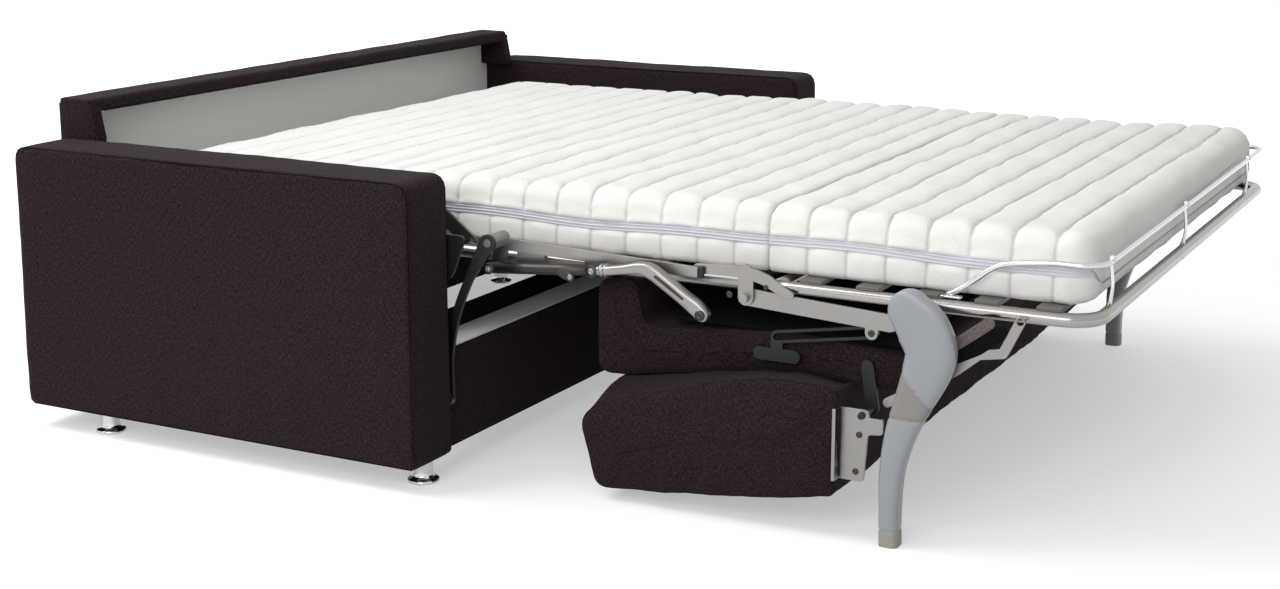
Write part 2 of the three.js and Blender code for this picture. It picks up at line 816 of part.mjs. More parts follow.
// Drive tube and bent arm beside the bed
function buildDriveArms() {
  const tubeHeight = 22;
  const lugInner = armTubeInner;
  const lugOuter = (armTubeInner + armTubeOuter) / 2 - clearance / 2;
  const share = 0.76;
  const neckY = drivePivotY + (elbowPivotY - drivePivotY) * share;
  const neckZ = drivePivotZ + (elbowPivotZ - drivePivotZ) * share;
  const tube = join([
    strap(drivePivotY, drivePivotZ, neckY, neckZ, tubeHeight, armTubeInner, armTubeOuter),
    strap(neckY, neckZ, elbowPivotY, elbowPivotZ, tubeHeight, lugInner, lugOuter),
    pin(elbowPivotY, elbowPivotZ, pinRadius, lugOuter - clearance, armTubeOuter),
  ]).subtract(pin(drivePivotY, drivePivotZ, pinRadius + runningGap,
    armTubeInner - overrun, armTubeOuter + overrun));
  addPair('drive_tube', tube, darkSteel);

  const armWidthThick = 29;
  const armWidthEnd = 34;
  const ringDepth = 16;
  const reachY = armEndY - elbowPivotY;
  const reachZ = elbowPivotZ - armEndZ;
  const routeShares = [[0, 0], [0.16, -0.02], [0.38, -0.36], [0.55, -0.12], [0.72, 0.25], [1, 1]];
  const route = routeShares.map(([along, drop]) => [
    elbowPivotY + reachY * along,
    elbowPivotZ - reachZ * drop,
  ]);
  const widths = [0.8, 1, 1, 1, 0.95, 1].map((share) => armWidthThick * share);
  const bent = plate(ribbon(route, widths, 20), armTubeInner, armTubeOuter);
  const ring = plate(disc(route[1][0] - ringDepth / 2, route[1][1], armWidthEnd / 2), armTubeInner, armTubeOuter);
  const fork = block(
    armTubeInner - overrun,
    lugOuter + clearance,
    route[1][0] + ringDepth / 2,
    elbowPivotY + armWidthThick,
    elbowPivotZ - armWidthThick,
    elbowPivotZ + armWidthThick,
  );
  const relief = plate(disc(elbowPivotY, elbowPivotZ, tubeHeight / 2 + 2 * runningGap),
    armTubeInner - overrun, lugOuter + clearance);
  const relief2 = plate(disc(neckY, neckZ, tubeHeight / 2 + 4 * runningGap), armTubeInner - overrun,
    armTubeOuter + overrun);
  const arm = join([bent, ring])
    .subtract(fork)
    .subtract(relief)
    .subtract(relief2)
    .subtract(pin(elbowPivotY, elbowPivotZ, pinRadius + runningGap,
      armTubeInner - overrun, armTubeOuter + overrun));
  addPair('bent_arm', arm, satinSteel);
}

// Flat bars and arched fold plates of the foot part
function buildFoldPlates() {
  const barWidth = 32;
  const kneeReach = 54;
  const kneeDrop = 33;
  const barKneeY = legPivotY + kneeReach;
  const barKneeZ = legPivotZ - kneeDrop;
  const bar = join([
    strap(barPinY, barPinZ, barKneeY, barKneeZ, barWidth, barInner, barOuter),
    strap(barKneeY, barKneeZ, legPivotY, legPivotZ, barWidth, barInner, barOuter),
    pin(legPivotY, legPivotZ, bigPinRadius, barOuter - clearance, legOuter - coverThickness - 4 * clearance),
    strap(slidePinY, barKneeZ, slidePinY, slidePinZ, slideBand, barInner, barOuter),
    pin(slidePinY, slidePinZ, pinRadius, seatHalf + 2 * clearance, barInner + clearance),
  ]);
  addPair('flat_bar', bar, satinSteel);

  const archShares = [[-1.1, 0.95], [-0.65, 0.98], [-0.2, 1.02], [0.35, 0.85], [0.8, 0.42], [1, 0.3]];
  const archWidth = 22;
  const archWidthShares = [0.82, 0.86, 0.93, 1, 0.82, 0.55];
  const archHalf = 88;
  const archRise = 46;
  const arch = ribbon(
    archShares.map(([along, up]) => [barPinY - archHalf * along, barPinZ + archRise * up]),
    archWidthShares.map((share) => archWidth * share),
    14,
  );
  const plateBody = join([
    plate(arch, plateInner, plateOuter),
    strap(barPinY, barPinZ, barPinY, barPinZ + archRise, 2 * bossRadius, plateInner, plateOuter),
    pin(barPinY, barPinZ, bigPinRadius, plateOuter - clearance, rivetOuter - rivetReach / 2),
  ]);
  addPair('fold_plate', plateBody, satinSteel);
}

// Seat cushion with its lobe, seat board, slotted runners and hinge brackets
function buildSeat() {
  const outline = rounded([
    [seatRearY - seatCrown, seatBottomRear + seatCrown],
    [seatRearY - seatCrown, lobeTop - seatCrown],
    [seatRearY - lobeDepth, lobeTop - seatCrown],
    [seatRearY - lobeDepth - seatCorner, seatTop - seatCrown],
    [seatFrontY + seatCrown, seatTop - seatCrown],
    [seatFrontY + seatCrown, seatTop - seatNoseDepth],
    [seatFrontY + seatNose, seatBottomFront + seatCrown],
    [seatRearY - seatArch, seatBottomMiddle + seatCrown],
  ], seatCorner, 5);
  const stations = [
    [0, -seatCorner * 0.55],
    [seatCorner * 0.12, -seatCorner * 0.28],
    [seatCorner * 0.4, -seatCorner * 0.08],
    [seatCorner, 0],
    [seatHalf / 4, seatCrown * 0.6],
    [seatHalf / 2, seatCrown * 0.9],
    [seatHalf, seatCrown],
  ];
  add('seat_cushion', softLoft(outline, seatHalf, stations), upholstery);
  const padMiddle = (seatBottomRear + lobeTop) / 2;
  const padStretch = (lobeTop - seatBottomRear) / (lobeTop - seatBottomRear - 2 * seatCrown);
  const padTop = padMiddle + (seatTop - seatCrown - padMiddle) * padStretch;
  add('seat_board', block(
    -seatHalf + boardInset,
    seatHalf - boardInset,
    seatFrontY + boardInset,
    seatRearY - lobeDepth - 3 * boardInset,
    padTop + clearance,
    padTop + clearance + boardThickness,
  ), blackTrim);

  const tabInner = seatHalf + clearance;
  const tabOuter = tabInner + plateThickness;
  const slideEndY = slidePinY + slideReach;
  const slideEndZ = slidePinZ - slideRise;
  const slotWidth = 2 * (pinRadius + runningGap);
  const runner = join([
    strap(slidePinY, slidePinZ, slideEndY, slideEndZ, slideBand, tabInner, tabOuter),
    strap(slideEndY, slideEndZ, slideEndY, slideEndZ - bracketWidth, slideBand, tabInner, tabOuter),
    strap(slideEndY + bracketWidth, slideEndZ - bracketWidth, slideEndY - bracketWidth, slideEndZ - bracketWidth,
      slideBand, tabInner, tabOuter),
  ]).subtract(strap(slidePinY, slidePinZ, slideEndY, slideEndZ, slotWidth, tabInner - overrun, tabOuter + overrun));
  addPair('seat_runner', runner, darkSteel);

  const hingeTab = join([
    strap(backHingeY + bracketWidth / 3, backHingeZ + bracketWidth * 2.2, backHingeY, backHingeZ,
      bracketWidth * 0.7, tabInner, tabOuter),
    pin(backHingeY, backHingeZ, pinRadius, tabOuter - clearance, legOuter),
  ]);
  addPair('hinge_bracket', hingeTab, darkSteel);
}

// Backrest cushion and its hinge plates
function buildBackrest() {
  const outline = rounded([
    [backRearY - backCrown, backLowRear + backCrown],
    [backRearY + backRearLean - backCrown, backRearHigh - backCrown],
    [backRearY - backRearSlope, backRearTop - backCrown],
    [backFrontY + backShoulder, backTopZ - backCrown],
    [backFrontY + backCrown, backTopZ - backCrown],
    [backFrontY + backCrown, backLowFront + backCrown],
  ], backCorner, 5);
  const stations = [
    [0, -backCorner * 0.55],
    [backCorner * 0.12, -backCorner * 0.28],
    [backCorner * 0.4, -backCorner * 0.08],
    [backCorner, 0],
    [backHalf / 4, backCrown * 0.6],
    [backHalf / 2, backCrown * 0.9],
    [backHalf, backCrown],
  ];
  add('backrest_cushion', softLoft(outline, backHalf, stations), upholstery);

  const webOuter = legOuter - plateThickness;
  const webInner = webOuter - plateThickness;
  const top = backHingeZ + hingePlateWidth / 3;
  const faceY = backFrontY + backCrown - 2 * clearance;
  const frontY = backHingeY - hingePlateWidth / 3;
  const bottom = top - hingePlateHeight;
  const hingeArmReach = 40;
  const armEnd = backHingeY - hingeArmReach;
  const web = plate(rounded([
    [faceY, bottom],
    [faceY, top],
    [frontY, top],
    [frontY, top - hingeArmHeight / 2],
    [armEnd, top - hingeArmHeight / 2],
    [armEnd, top - hingeArmHeight * 1.5],
    [frontY, top - hingeArmHeight * 1.6],
    [frontY + hingeLeaf, bottom],
  ], hingeLeaf, 2), webInner, webOuter);
  const leaf = block(webInner, webOuter + hingeLeafWidth - plateThickness, faceY - hingeLeaf, faceY, bottom, top);
  const hinge = join([web, leaf]).subtract(pin(backHingeY, backHingeZ, pinRadius + runningGap,
    webInner - overrun, webOuter + overrun));
  addPair('backrest_plate', hinge, satinSteel);
}

// Legs: a bowed blade, its outer cover above the seam and the foot cap
function buildLegs() {
  const routeShares = [
    [0, 0], [0.003, 0.14], [-0.002, 0.295], [-0.031, 0.441], [-0.076, 0.566],
    [-0.123, 0.692], [-0.138, 0.776], [-0.104, 0.856], [-0.053, 0.918],
  ];
  const widthShares = [0.383, 0.388, 0.452, 0.574, 0.702, 0.894, 0.979, 1, 0.81];
  const route = routeShares.map(([y, z]) => [legFootY + legHeight * y, legHeight * z]);
  const widths = widthShares.map((share) => legWidth * share - 2 * legEdge);
  const blade = plate(ribbon(route, widths, 22, true), legInner, legOuter, legEdge, 2);
  const floor = block(legInner - overrun, legOuter + overrun, legFootY - legWidth, legFootY + legWidth,
    -legWidth, 0);
  const standing = blade.subtract(floor);
  const seamShares = [
    [0.16, 1.1], [0.16, 0.8], [-0.07, 0.757], [-0.104, 0.727], [-0.149, 0.63], [-0.167, 0.563],
    [-0.3, 0.563], [-0.3, 1.1],
  ];
  const seam = seamShares.map(([y, z]) => [legFootY + legHeight * y, legHeight * z]);
  const split = legOuter - coverThickness;
  const cover = standing.intersect(plate(seam, split, legOuter + overrun));
  const coverRoom = plate(seam, split - clearance, legOuter + overrun);
  const capRoom = block(legInner - overrun, legOuter + overrun, legFootY - legWidth, legFootY + legWidth,
    -overrun, legCapHeight);
  const cap = standing.intersect(capRoom);
  const core = standing
    .subtract(coverRoom)
    .subtract(capRoom.translate([0, 0, clearance]))
    .subtract(pin(legPivotY, legPivotZ, bigPinRadius + runningGap,
      legInner - overrun, split - 3 * clearance));
  addPair('leg_core', core, legGrey);
  addPair('leg_cover', cover, legGrey);
  addPair('leg_cap', cap, capGrey);
}

// Bent rear struts under the foot part
function buildStruts() {
  const strutWidth = 17;
  const reachY = strutPivotY - strutEndY;
  const reachZ = strutPivotZ - strutEndZ;
  const routeShares = [[1, 1], [0.48, 0.58], [0.3, 0.38], [0.12, 0.34], [0, 0]];
  const points = routeShares.map(([y, z]) => [strutPivotY - reachY * y, strutPivotZ - reachZ * z]);
  const bars = [];
  for (let i = 0; i + 1 < points.length; i += 1) {
    bars.push(strap(...points[i], ...points[i + 1], strutWidth, plateInner, plateOuter));
  }
  const strut = join(bars).subtract(pin(strutPivotY, strutPivotZ, pinRadius + runningGap,
    plateInner - overrun, plateOuter + overrun));
  addPair('rear_strut', strut, satinSteel);
}

// Wire bail that keeps the mattress at the foot end, with its clips on the frame tube
function buildBail() {
  const sideX = tubeX - bailInset;
  const endY = footTubeY - bailReach + bailRadius;
  const start = tubeTop + clearance;
  const rise = bailTop - start;
  const sideShares = [[0, 0.12], [0, 0.32], [0.1, 0.62], [0.16, 0.8], [0.22, 0.9], [0.32, 0.95]];
  const run = endY - bailStartY;
  const bend = footTubeBend;
  const route = sideShares.map(([along, up]) => [sideX, bailStartY + run * along * 1.2, start + rise * up]);
  for (let s = 0; s <= capSteps; s += 1) {
    const turn = (Math.PI / 2) * (s / capSteps);
    route.push([
      sideX - bend + bend * Math.cos(turn),
      endY + bend - bend * Math.sin(turn),
      bailTop,
    ]);
  }
  const whole = [...route, ...route.slice().reverse().map(([x, y, z]) => [-x, y, z])];
  const wire = routeTube(whole.slice(1, -1), bailRadius, 8);
  const footHeight = sideShares[1][1] * rise + bailRadius;
  const foot = block(sideX - bailRadius, sideX + 2 * bailRadius, bailStartY - 3 * bailRadius,
    bailStartY + bailRadius, start, start + footHeight);
  const clipXs = [-bedHalf * 0.93, -bedHalf * 0.13, bedHalf * 0.75];
  const clips = clipXs.map((x) => block(x - clipWidth / 2, x + clipWidth / 2,
    endY - clipThickness / 2, endY + clipThickness / 2, start, bailTop));
  add('retaining_bail', join([wire, foot, foot.mirror([1, 0, 0]), ...clips]), chrome);
}

buildArms();
buildBack();
buildRails();
buildFeet();
buildLift();
buildMattress();
buildFrames();
buildSideRails();
buildDriveArms();
buildFoldPlates();
buildSeat();
buildBackrest();
buildLegs();
buildStruts();
buildBail();

// Move the part so that its middle lies at Y zero
const reach = footTubeY - tubeRadius;
for (const mesh of group.children) mesh.geometry.translate(0, -reach / 2, 0);

export default group;
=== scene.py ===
"""Sleeper sofa with its bed pulled out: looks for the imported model, in metres.

Shapes are written with Y counted from the rear wall, negative toward the front.
put() moves them into the frame, whose origin lies SHIFT in front of the wall.
"""

import math

import bpy
import numpy as np
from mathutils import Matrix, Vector


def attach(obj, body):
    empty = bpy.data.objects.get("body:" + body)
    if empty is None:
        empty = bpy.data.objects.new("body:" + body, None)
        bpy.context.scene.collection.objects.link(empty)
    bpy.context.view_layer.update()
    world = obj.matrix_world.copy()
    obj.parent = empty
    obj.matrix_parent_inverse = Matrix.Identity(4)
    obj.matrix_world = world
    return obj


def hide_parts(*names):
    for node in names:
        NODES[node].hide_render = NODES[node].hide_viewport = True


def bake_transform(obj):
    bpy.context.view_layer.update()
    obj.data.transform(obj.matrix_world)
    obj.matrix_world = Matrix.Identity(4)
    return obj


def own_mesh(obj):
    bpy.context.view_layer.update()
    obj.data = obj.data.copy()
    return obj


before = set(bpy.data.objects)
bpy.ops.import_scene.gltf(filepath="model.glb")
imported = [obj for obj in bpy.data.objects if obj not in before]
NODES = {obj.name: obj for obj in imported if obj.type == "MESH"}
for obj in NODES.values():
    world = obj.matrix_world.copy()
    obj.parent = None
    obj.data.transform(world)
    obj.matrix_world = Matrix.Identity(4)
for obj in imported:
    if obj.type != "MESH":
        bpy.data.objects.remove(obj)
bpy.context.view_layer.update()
SHIFT = 1.1
SIDES = (("left", -1), ("right", 1))


# Shader helper
class S:
    """A node socket with arithmetic."""

    def __init__(self, tree, out):
        self.tree, self.out = tree, out

    def _math(self, op, other=None, flip=False):
        n = self.tree.nodes.new("ShaderNodeMath")
        n.operation = op
        a, b = (1, 0) if flip else (0, 1)
        self.tree.links.new(self.out, n.inputs[a])
        if other is not None:
            feed(self.tree, n.inputs[b], other)
        return S(self.tree, n.outputs[0])

    def __add__(self, o):
        return self._math("ADD", o)

    __radd__ = __add__

    def __sub__(self, o):
        return self._math("SUBTRACT", o)

    def __rsub__(self, o):
        return self._math("SUBTRACT", o, True)

    def __mul__(self, o):
        return self._math("MULTIPLY", o)

    __rmul__ = __mul__

    def __truediv__(self, o):
        return self._math("DIVIDE", o)

    def __pow__(self, o):
        return self._math("POWER", o)

    def __gt__(self, o):
        return self._math("GREATER_THAN", o)

    def __lt__(self, o):
        return self._math("LESS_THAN", o)

    def sin(self):
        return self._math("SINE")

    def abs(self):
        return self._math("ABSOLUTE")

    def frac(self):
        return self._math("FRACT")

    def max(self, o):
        return self._math("MAXIMUM", o)

    def min(self, o):
        return self._math("MINIMUM", o)

    def clamp(self):
        return self.max(0.0).min(1.0)


def feed(tree, socket, value):
    """Link a socket to another node's result, or give it a value."""
    if isinstance(value, S):
        tree.links.new(value.out, socket)
    elif isinstance(value, (tuple, list)):
        socket.default_value = (*value, 1.0) if len(value) == 3 and socket.type == "RGBA" else value
    else:
        socket.default_value = value


class Mat:
    """A material with one Principled shader and short names for the nodes used here."""

    SOCKETS = {"base": "Base Color", "rough": "Roughness", "metal": "Metallic", "sheen": "Sheen Weight",
               "sheen_rough": "Sheen Roughness", "coat": "Coat Weight", "coat_rough": "Coat Roughness",
               "specular": "Specular IOR Level"}

    def __init__(self, name, **shader):
        self.mat = bpy.data.materials.new(name)
        self.mat.use_nodes = True
        self.t = self.mat.node_tree
        self.t.nodes.clear()
        self.shader = self.t.nodes.new("ShaderNodeBsdfPrincipled")
        out = self.t.nodes.new("ShaderNodeOutputMaterial")
        self.t.links.new(self.shader.outputs[0], out.inputs[0])
        for k, v in shader.items():
            self.set(k, v)

    def set(self, socket, value):
        feed(self.t, self.shader.inputs[self.SOCKETS[socket]], value)

    def node(self, kind, sockets=(), out=0, **settings):
        """Add a node: its settings first, then its sockets' values or links, by name or place."""
        n = self.t.nodes.new(kind)
        for k, v in settings.items():
            setattr(n, k, v)
        for k, v in dict(sockets).items():
            feed(self.t, n.inputs[k], v)
        return S(self.t, n.outputs[out])

    def coords(self):
        return self.node("ShaderNodeTexCoord", out="Object")

    def uv(self):
        return self.node("ShaderNodeUVMap", uv_map="metres")

    def xyz(self, vec):
        n = self.node("ShaderNodeSeparateXYZ", {0: vec}).out.node
        return [S(self.t, o) for o in n.outputs]

    def vec(self, x, y, z=0.0):
        return self.node("ShaderNodeCombineXYZ", {0: x, 1: y, 2: z})

    def noise(self, vec, scale, detail, rough=0.5):
        sockets = {"Vector": vec, "Scale": scale, "Detail": detail, "Roughness": rough}
        return self.node("ShaderNodeTexNoise", sockets)

    def voronoi(self, vec, scale):
        return self.node("ShaderNodeTexVoronoi", {"Vector": vec, "Scale": scale})

    def mix(self, share, a, b):
        return self.node("ShaderNodeMix", {0: share, 6: a, 7: b}, 2, data_type="RGBA")

    def ramp(self, share, *stops):
        n = self.node("ShaderNodeValToRGB", {0: share}).out.node
        el = n.color_ramp.elements
        while len(el) < len(stops):
            el.new(0.5)
        for e, (place, colour) in zip(el, stops):
            e.position = place
            e.color = (*colour, 1)
        return S(self.t, n.outputs[0])

    def bump(self, height, distance, strength, below=None):
        sockets = {"Strength": strength, "Distance": distance, "Height": height}
        if below is not None:
            sockets["Normal"] = below
        self.t.links.new(self.node("ShaderNodeBump", sockets).out, self.shader.inputs["Normal"])

    def soft_edges(self, radius):
        return self.node("ShaderNodeBevel", {"Radius": radius}, samples=4)


def srgb(*rgb):
    """Linear colour of a display colour that is given from 0 to 255."""
    shares = (v / 255 for v in rgb)
    return tuple(c / 12.92 if c <= 0.04045 else ((c + 0.055) / 1.055) ** 2.4 for c in shares)


# Materials
def weave(name, dark, light, thread=0.0011, lift=0.0004, rough=0.92, sheen=0.25):
    """Flat-woven melange cloth: two thread directions, flecks and slubs of both yarns, soft patches."""
    m = Mat(name, rough=rough, sheen=sheen, sheen_rough=0.5, specular=0.12)
    p = m.uv()
    x, y, _ = m.xyz(p)
    k = math.pi / thread
    over = (x * k).sin() * (y * k).sin()
    fleck = m.noise(m.vec(x * 700.0, y * 240.0), 1.0, 3.0, 0.7)
    cross_fleck = m.noise(m.vec(x * 260.0, y * 820.0), 1.0, 3.0, 0.7)
    slub = m.noise(m.vec(x * 130.0, y * 520.0), 1.0, 2.0, 0.7)
    cross_slub = m.noise(m.vec(x * 520.0, y * 130.0), 1.0, 2.0, 0.7)
    patch = m.noise(p, 26.0, 4.0, 0.6)
    yarns = fleck * 0.55 + cross_fleck * 0.55 + (slub + cross_slub) * 1.5 + patch * 0.10
    middle = tuple((a + b) / 2 for a, b in zip(dark, light))
    # what is taken off brings the sum of the noises, 2.1 on average, a little below the ramp's middle
    m.set("base", m.ramp(yarns - 1.66 + over * 0.05, (0.12, dark), (0.5, middle), (0.85, light)))
    m.bump(over * 0.5 + fleck * 0.8 + cross_fleck * 0.8, lift, 0.4)
    return m.mat


# spacing of the mattress's sewn seams, and the first seam of each pad
PITCH, REAR_FIRST, FOOT_FIRST = 0.075, -0.235, -1.5797


def knit(name, first):
    """White quilted ticking: fine diagonal ribs, a loose generic leaf line, painted shade darkening each
    sewn seam.
    """
    m = Mat(name, rough=0.9, sheen=0.3, sheen_rough=0.4, specular=0.2)
    p = m.uv()
    x, y, _ = m.xyz(p)
    rib = ((x + y) * (2 * math.pi / 0.0042)).sin()
    cross_rib = ((x - y) * (2 * math.pi / 0.0052)).sin() * (m.noise(p, 9.0, 1.0) > 0.5)
    cell = m.voronoi(m.vec(x, y * 0.55), 9.0)
    leaf = ((m.noise(p, 7.0, 1.0, 0.4) * 40.0).sin().abs() < 0.16) * (cell < 0.32) * 0.6
    drift = m.noise(p, 5.0, 3.0, 0.6)
    tone = m.ramp(drift * 0.6 + rib * 0.11 + cross_rib * 0.09,
                  (0.1, srgb(220, 218, 213)), (0.62, srgb(238, 237, 234)))
    share = ((m.xyz(m.coords())[1] * -1.0 + (first + SHIFT)) / PITCH).frac()
    # painted shade: the colour darkens toward each sewn seam, standing in for the shadow in its valley
    painted_seam_shade = (1.0 - share.min(1.0 - share) / 0.075).clamp()
    cloth = m.mix(leaf * 0.35, tone, srgb(214, 213, 209))
    m.set("base", m.mix(painted_seam_shade * 0.55, cloth, srgb(176, 174, 170)))
    m.bump(rib * 0.5 + cross_rib * 0.35 - leaf * 2.2, 0.0007, 0.65)
    return m.mat


def zip_tape(name):
    """Woven tape with fine teeth across it."""
    m = Mat(name, base=srgb(206, 200, 208), rough=0.55, specular=0.4)
    x, _, _ = m.xyz(m.uv())
    teeth = (x * (2 * math.pi / 0.0018)).sin()
    m.set("base", m.mix(teeth * 0.3 + 0.3, srgb(228, 226, 232), srgb(198, 194, 205)))
    m.bump(teeth, 0.0004, 0.6)
    return m.mat


def metal(name, colour, rough, edge=0.0012, grain=0.35):
    """Satin or polished metal: fine streaks, smudges, softened edges."""
    m = Mat(name, metal=1.0)
    p = m.coords()
    x, y, z = m.xyz(p)
    streak = m.noise(m.vec(x * 900.0, y * 40.0, z * 900.0), 1.0, 3.0, 0.6)
    smudge = m.noise(p, 14.0, 4.0, 0.65)
    m.set("base", m.mix(smudge * 0.5 + streak * 0.3, colour, tuple(c * 0.78 for c in colour)))
    m.set("rough", smudge * 0.16 + streak * 0.1 * grain + (rough - 0.08))
    m.bump(streak, 0.00012, grain, below=m.soft_edges(edge))
    return m.mat


def painted(name, colour, rough, coat=0.0):
    """Enamel or moulded plastic: fine orange peel, faint drift of tone, softened edges."""
    m = Mat(name, rough=rough, coat=coat, coat_rough=0.2, specular=0.45)
    p = m.coords()
    drift = m.noise(p, 6.0, 3.0, 0.6)
    peel = m.noise(p, 900.0, 2.0, 0.5)
    m.set("base", m.mix(drift * 0.7, colour, tuple(c * 0.86 for c in colour)))
    m.set("rough", drift * 0.14 + (rough - 0.07))
    m.bump(peel, 0.0001, 0.25, below=m.soft_edges(0.001))
    return m.mat


UPHOLSTERY = weave("aubergine_weave", srgb(3, 1, 2), srgb(56, 41, 46), sheen=0.02)
SEAMED = weave("aubergine_weave_dark", srgb(6, 4, 5), srgb(24, 18, 21), sheen=0.0)
LINING = weave("lining_cloth", srgb(228, 228, 225), srgb(246, 246, 243), thread=0.0008, lift=0.0002,
               rough=0.85)
TICKING = knit("knit_ticking", REAR_FIRST)
FOOT_TICKING = knit("knit_ticking_foot", FOOT_FIRST)
ZIP = zip_tape("zip_tape")
SATIN = metal("satin_steel", srgb(152, 150, 148), 0.34)
TUBE = metal("polished_steel_tube", srgb(164, 161, 157), 0.22, edge=0.0008)
DARK = metal("dark_steel", srgb(72, 70, 68), 0.42)
CHROME = metal("chrome", srgb(214, 214, 216), 0.1, edge=0.0006, grain=0.1)
LEG = painted("leg_moulding", srgb(146, 149, 154), 0.36, coat=0.15)
COLLAR = painted("leg_collar", srgb(134, 131, 128), 0.5)
LATH = painted("lath_enamel", srgb(92, 90, 88), 0.5)
CAP = painted("foot_cap", srgb(150, 148, 140), 0.6)
BLACK = weave("black_cloth", srgb(3, 3, 3), srgb(14, 13, 14), thread=0.0014, sheen=0.0)
STRAP = weave("strap_webbing", srgb(78, 70, 66), srgb(122, 112, 106), thread=0.0018)
RUBBER = painted("black_moulding", srgb(15, 14, 15), 0.55)


# Mesh helpers
def box_uv(mesh):
    """UV in metres from the face's main direction, so that the weave has one scale everywhere."""
    layer = mesh.uv_layers.new(name="metres")
    co = np.empty(len(mesh.vertices) * 3)
    mesh.vertices.foreach_get("co", co)
    co = co.reshape(-1, 3)
    loops = np.empty(len(mesh.loops), int)
    mesh.loops.foreach_get("vertex_index", loops)
    normal = np.empty(len(mesh.polygons) * 3)
    mesh.polygons.foreach_get("normal", normal)
    normal = np.abs(normal.reshape(-1, 3))
    total = np.empty(len(mesh.polygons), int)
    mesh.polygons.foreach_get("loop_total", total)
    main = np.repeat(np.argmax(normal, axis=1), total)
    p = co[loops]
    side, front = (p[:, [1, 2]], p[:, [0, 2]])
    uv = np.where(main[:, None] == 0, side, np.where(main[:, None] == 1, front, p[:, [0, 1]]))
    layer.data.foreach_set("uv", uv.astype(np.float32).ravel())


def put(name, verts, faces, mats, body, nodes=(), slot=None, pick=None, pad=None):
    """Make the mesh object of one piece, at the origin with its place in its mesh."""
    verts = np.asarray(verts, float).reshape(-1, 3) + (0, SHIFT, 0)
    mesh = bpy.data.meshes.new(name)
    mesh.from_pydata(verts.tolist(), [], [tuple(int(i) for i in f) for f in faces])
    mats = mats if isinstance(mats, (list, tuple)) else [mats]
    for m in mats:
        mesh.materials.append(m)
    if pick is not None:
        mesh.polygons.foreach_set("material_index", np.asarray(pick, np.int32))
    mesh.polygons.foreach_set("use_smooth", [True] * len(mesh.polygons))
    mesh.validate()
    mesh.update()
    box_uv(mesh)
    obj = bpy.data.objects.new(name, mesh)
    bpy.context.scene.collection.objects.link(obj)
    if body:
        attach(obj, body)
    if nodes:
        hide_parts(*nodes)
    return obj


def skin(rings):
    """Faces through equal rings of points, with one face over each end."""
    rings = np.asarray(rings, float)
    count, size = rings.shape[:2]
    i, j = np.meshgrid(np.arange(count - 1), np.arange(size), indexing="ij")
    a = i * size + j
    b = i * size + (j + 1) % size
    faces = np.stack([a, b, b + size, a + size], -1).reshape(-1, 4).tolist()
    faces.append(list(range(size))[::-1])
    faces.append([(count - 1) * size + k for k in range(size)])
    return rings.reshape(-1, 3), faces


def merge(*parts):
    """One mesh of several, with the number of its part for each face."""
    verts, faces, pick, base = [], [], [], 0
    for n, (v, f) in enumerate(parts):
        verts.append(np.asarray(v))
        faces += [[i + base for i in face] for face in f]
        pick += [n] * len(f)
        base += len(v)
    return np.concatenate(verts), faces, pick


def spline(points, count):
    """Catmull-Rom curve through the points."""
    p = np.asarray(points, float)
    last = len(p) - 1
    t = np.linspace(0, last, count)
    k = np.minimum(t.astype(int), last - 1)
    f = (t - k)[:, None]
    a, b, c, d = (p[np.clip(k + i, 0, last)] for i in (-1, 0, 1, 2))
    curve = 2 * b + (c - a) * f + (2 * a - 5 * b + 4 * c - d) * f ** 2
    return 0.5 * (curve + (3 * b - a - 3 * c + d) * f ** 3)


def even(points, step, closed=False):
    """The same polyline with points at an even spacing."""
    p = np.asarray(points, float)
    if closed:
        p = np.vstack([p, p[:1]])
    s = np.concatenate([[0], np.cumsum(np.linalg.norm(np.diff(p, axis=0), axis=1))])
    count = max(int(round(s[-1] / step)), 3)
    at = np.linspace(0, s[-1], count + 1)
    q = np.stack([np.interp(at, s, p[:, k]) for k in range(p.shape[1])], 1)
    return q[:-1] if closed else q


def rounded(points, radii, steps):
    """A closed outline with its corners turned to arcs."""
    out = []
    n = len(points)
    for i, r in enumerate(radii):
        p, a, b = (np.array(points[k % n], float) for k in (i, i - 1, i + 1))
        da, db = a - p, b - p
        reach = min(r, np.linalg.norm(da) * 0.48, np.linalg.norm(db) * 0.48)
        s, e = p + da / np.linalg.norm(da) * reach, p + db / np.linalg.norm(db) * reach
        for t in np.linspace(0, 1, steps + 1):
            out.append((1 - t) ** 2 * s + 2 * t * (1 - t) * p + t * t * e)
    return np.array(out)


def pipe(route, radius, sides):
    """A round tube along 3-D points, with turned ends."""
    p = np.asarray(route, float)
    t = np.gradient(p, axis=0)
    t /= np.linalg.norm(t, axis=1)[:, None]
    up = np.array([0, 0, 1.0]) if abs(t[0][2]) < 0.9 else np.array([0, 1.0, 0])
    rings = []
    u = np.cross(t[0], up)
    a = np.linspace(0, 2 * np.pi, sides, endpoint=False)[:, None]
    for k in range(len(p)):
        u = u - t[k] * np.dot(u, t[k])
        u /= np.linalg.norm(u)
        rings.append(p[k] + radius * (np.cos(a) * u + np.sin(a) * np.cross(t[k], u)))
    first, last = rings[0], rings[-1]
    return skin([p[0] + (first - p[0]) * 0.5 - t[0] * radius * 0.12, *rings,
                 p[-1] + (last - p[-1]) * 0.5 + t[-1] * radius * 0.12])


def turned(profile, centre, axis="z", sides=48):
    """A turned shape: profile is (radius, height) from one end to the other."""
    a = np.linspace(0, 2 * np.pi, sides, endpoint=False)
    rings = []
    for r, h in profile:
        c, s = r * np.cos(a), r * np.sin(a)
        k = np.full(sides, h)
        rings.append(np.stack((c, s, k) if axis == "z" else (k, c, s), 1) + centre)
    return skin(rings)


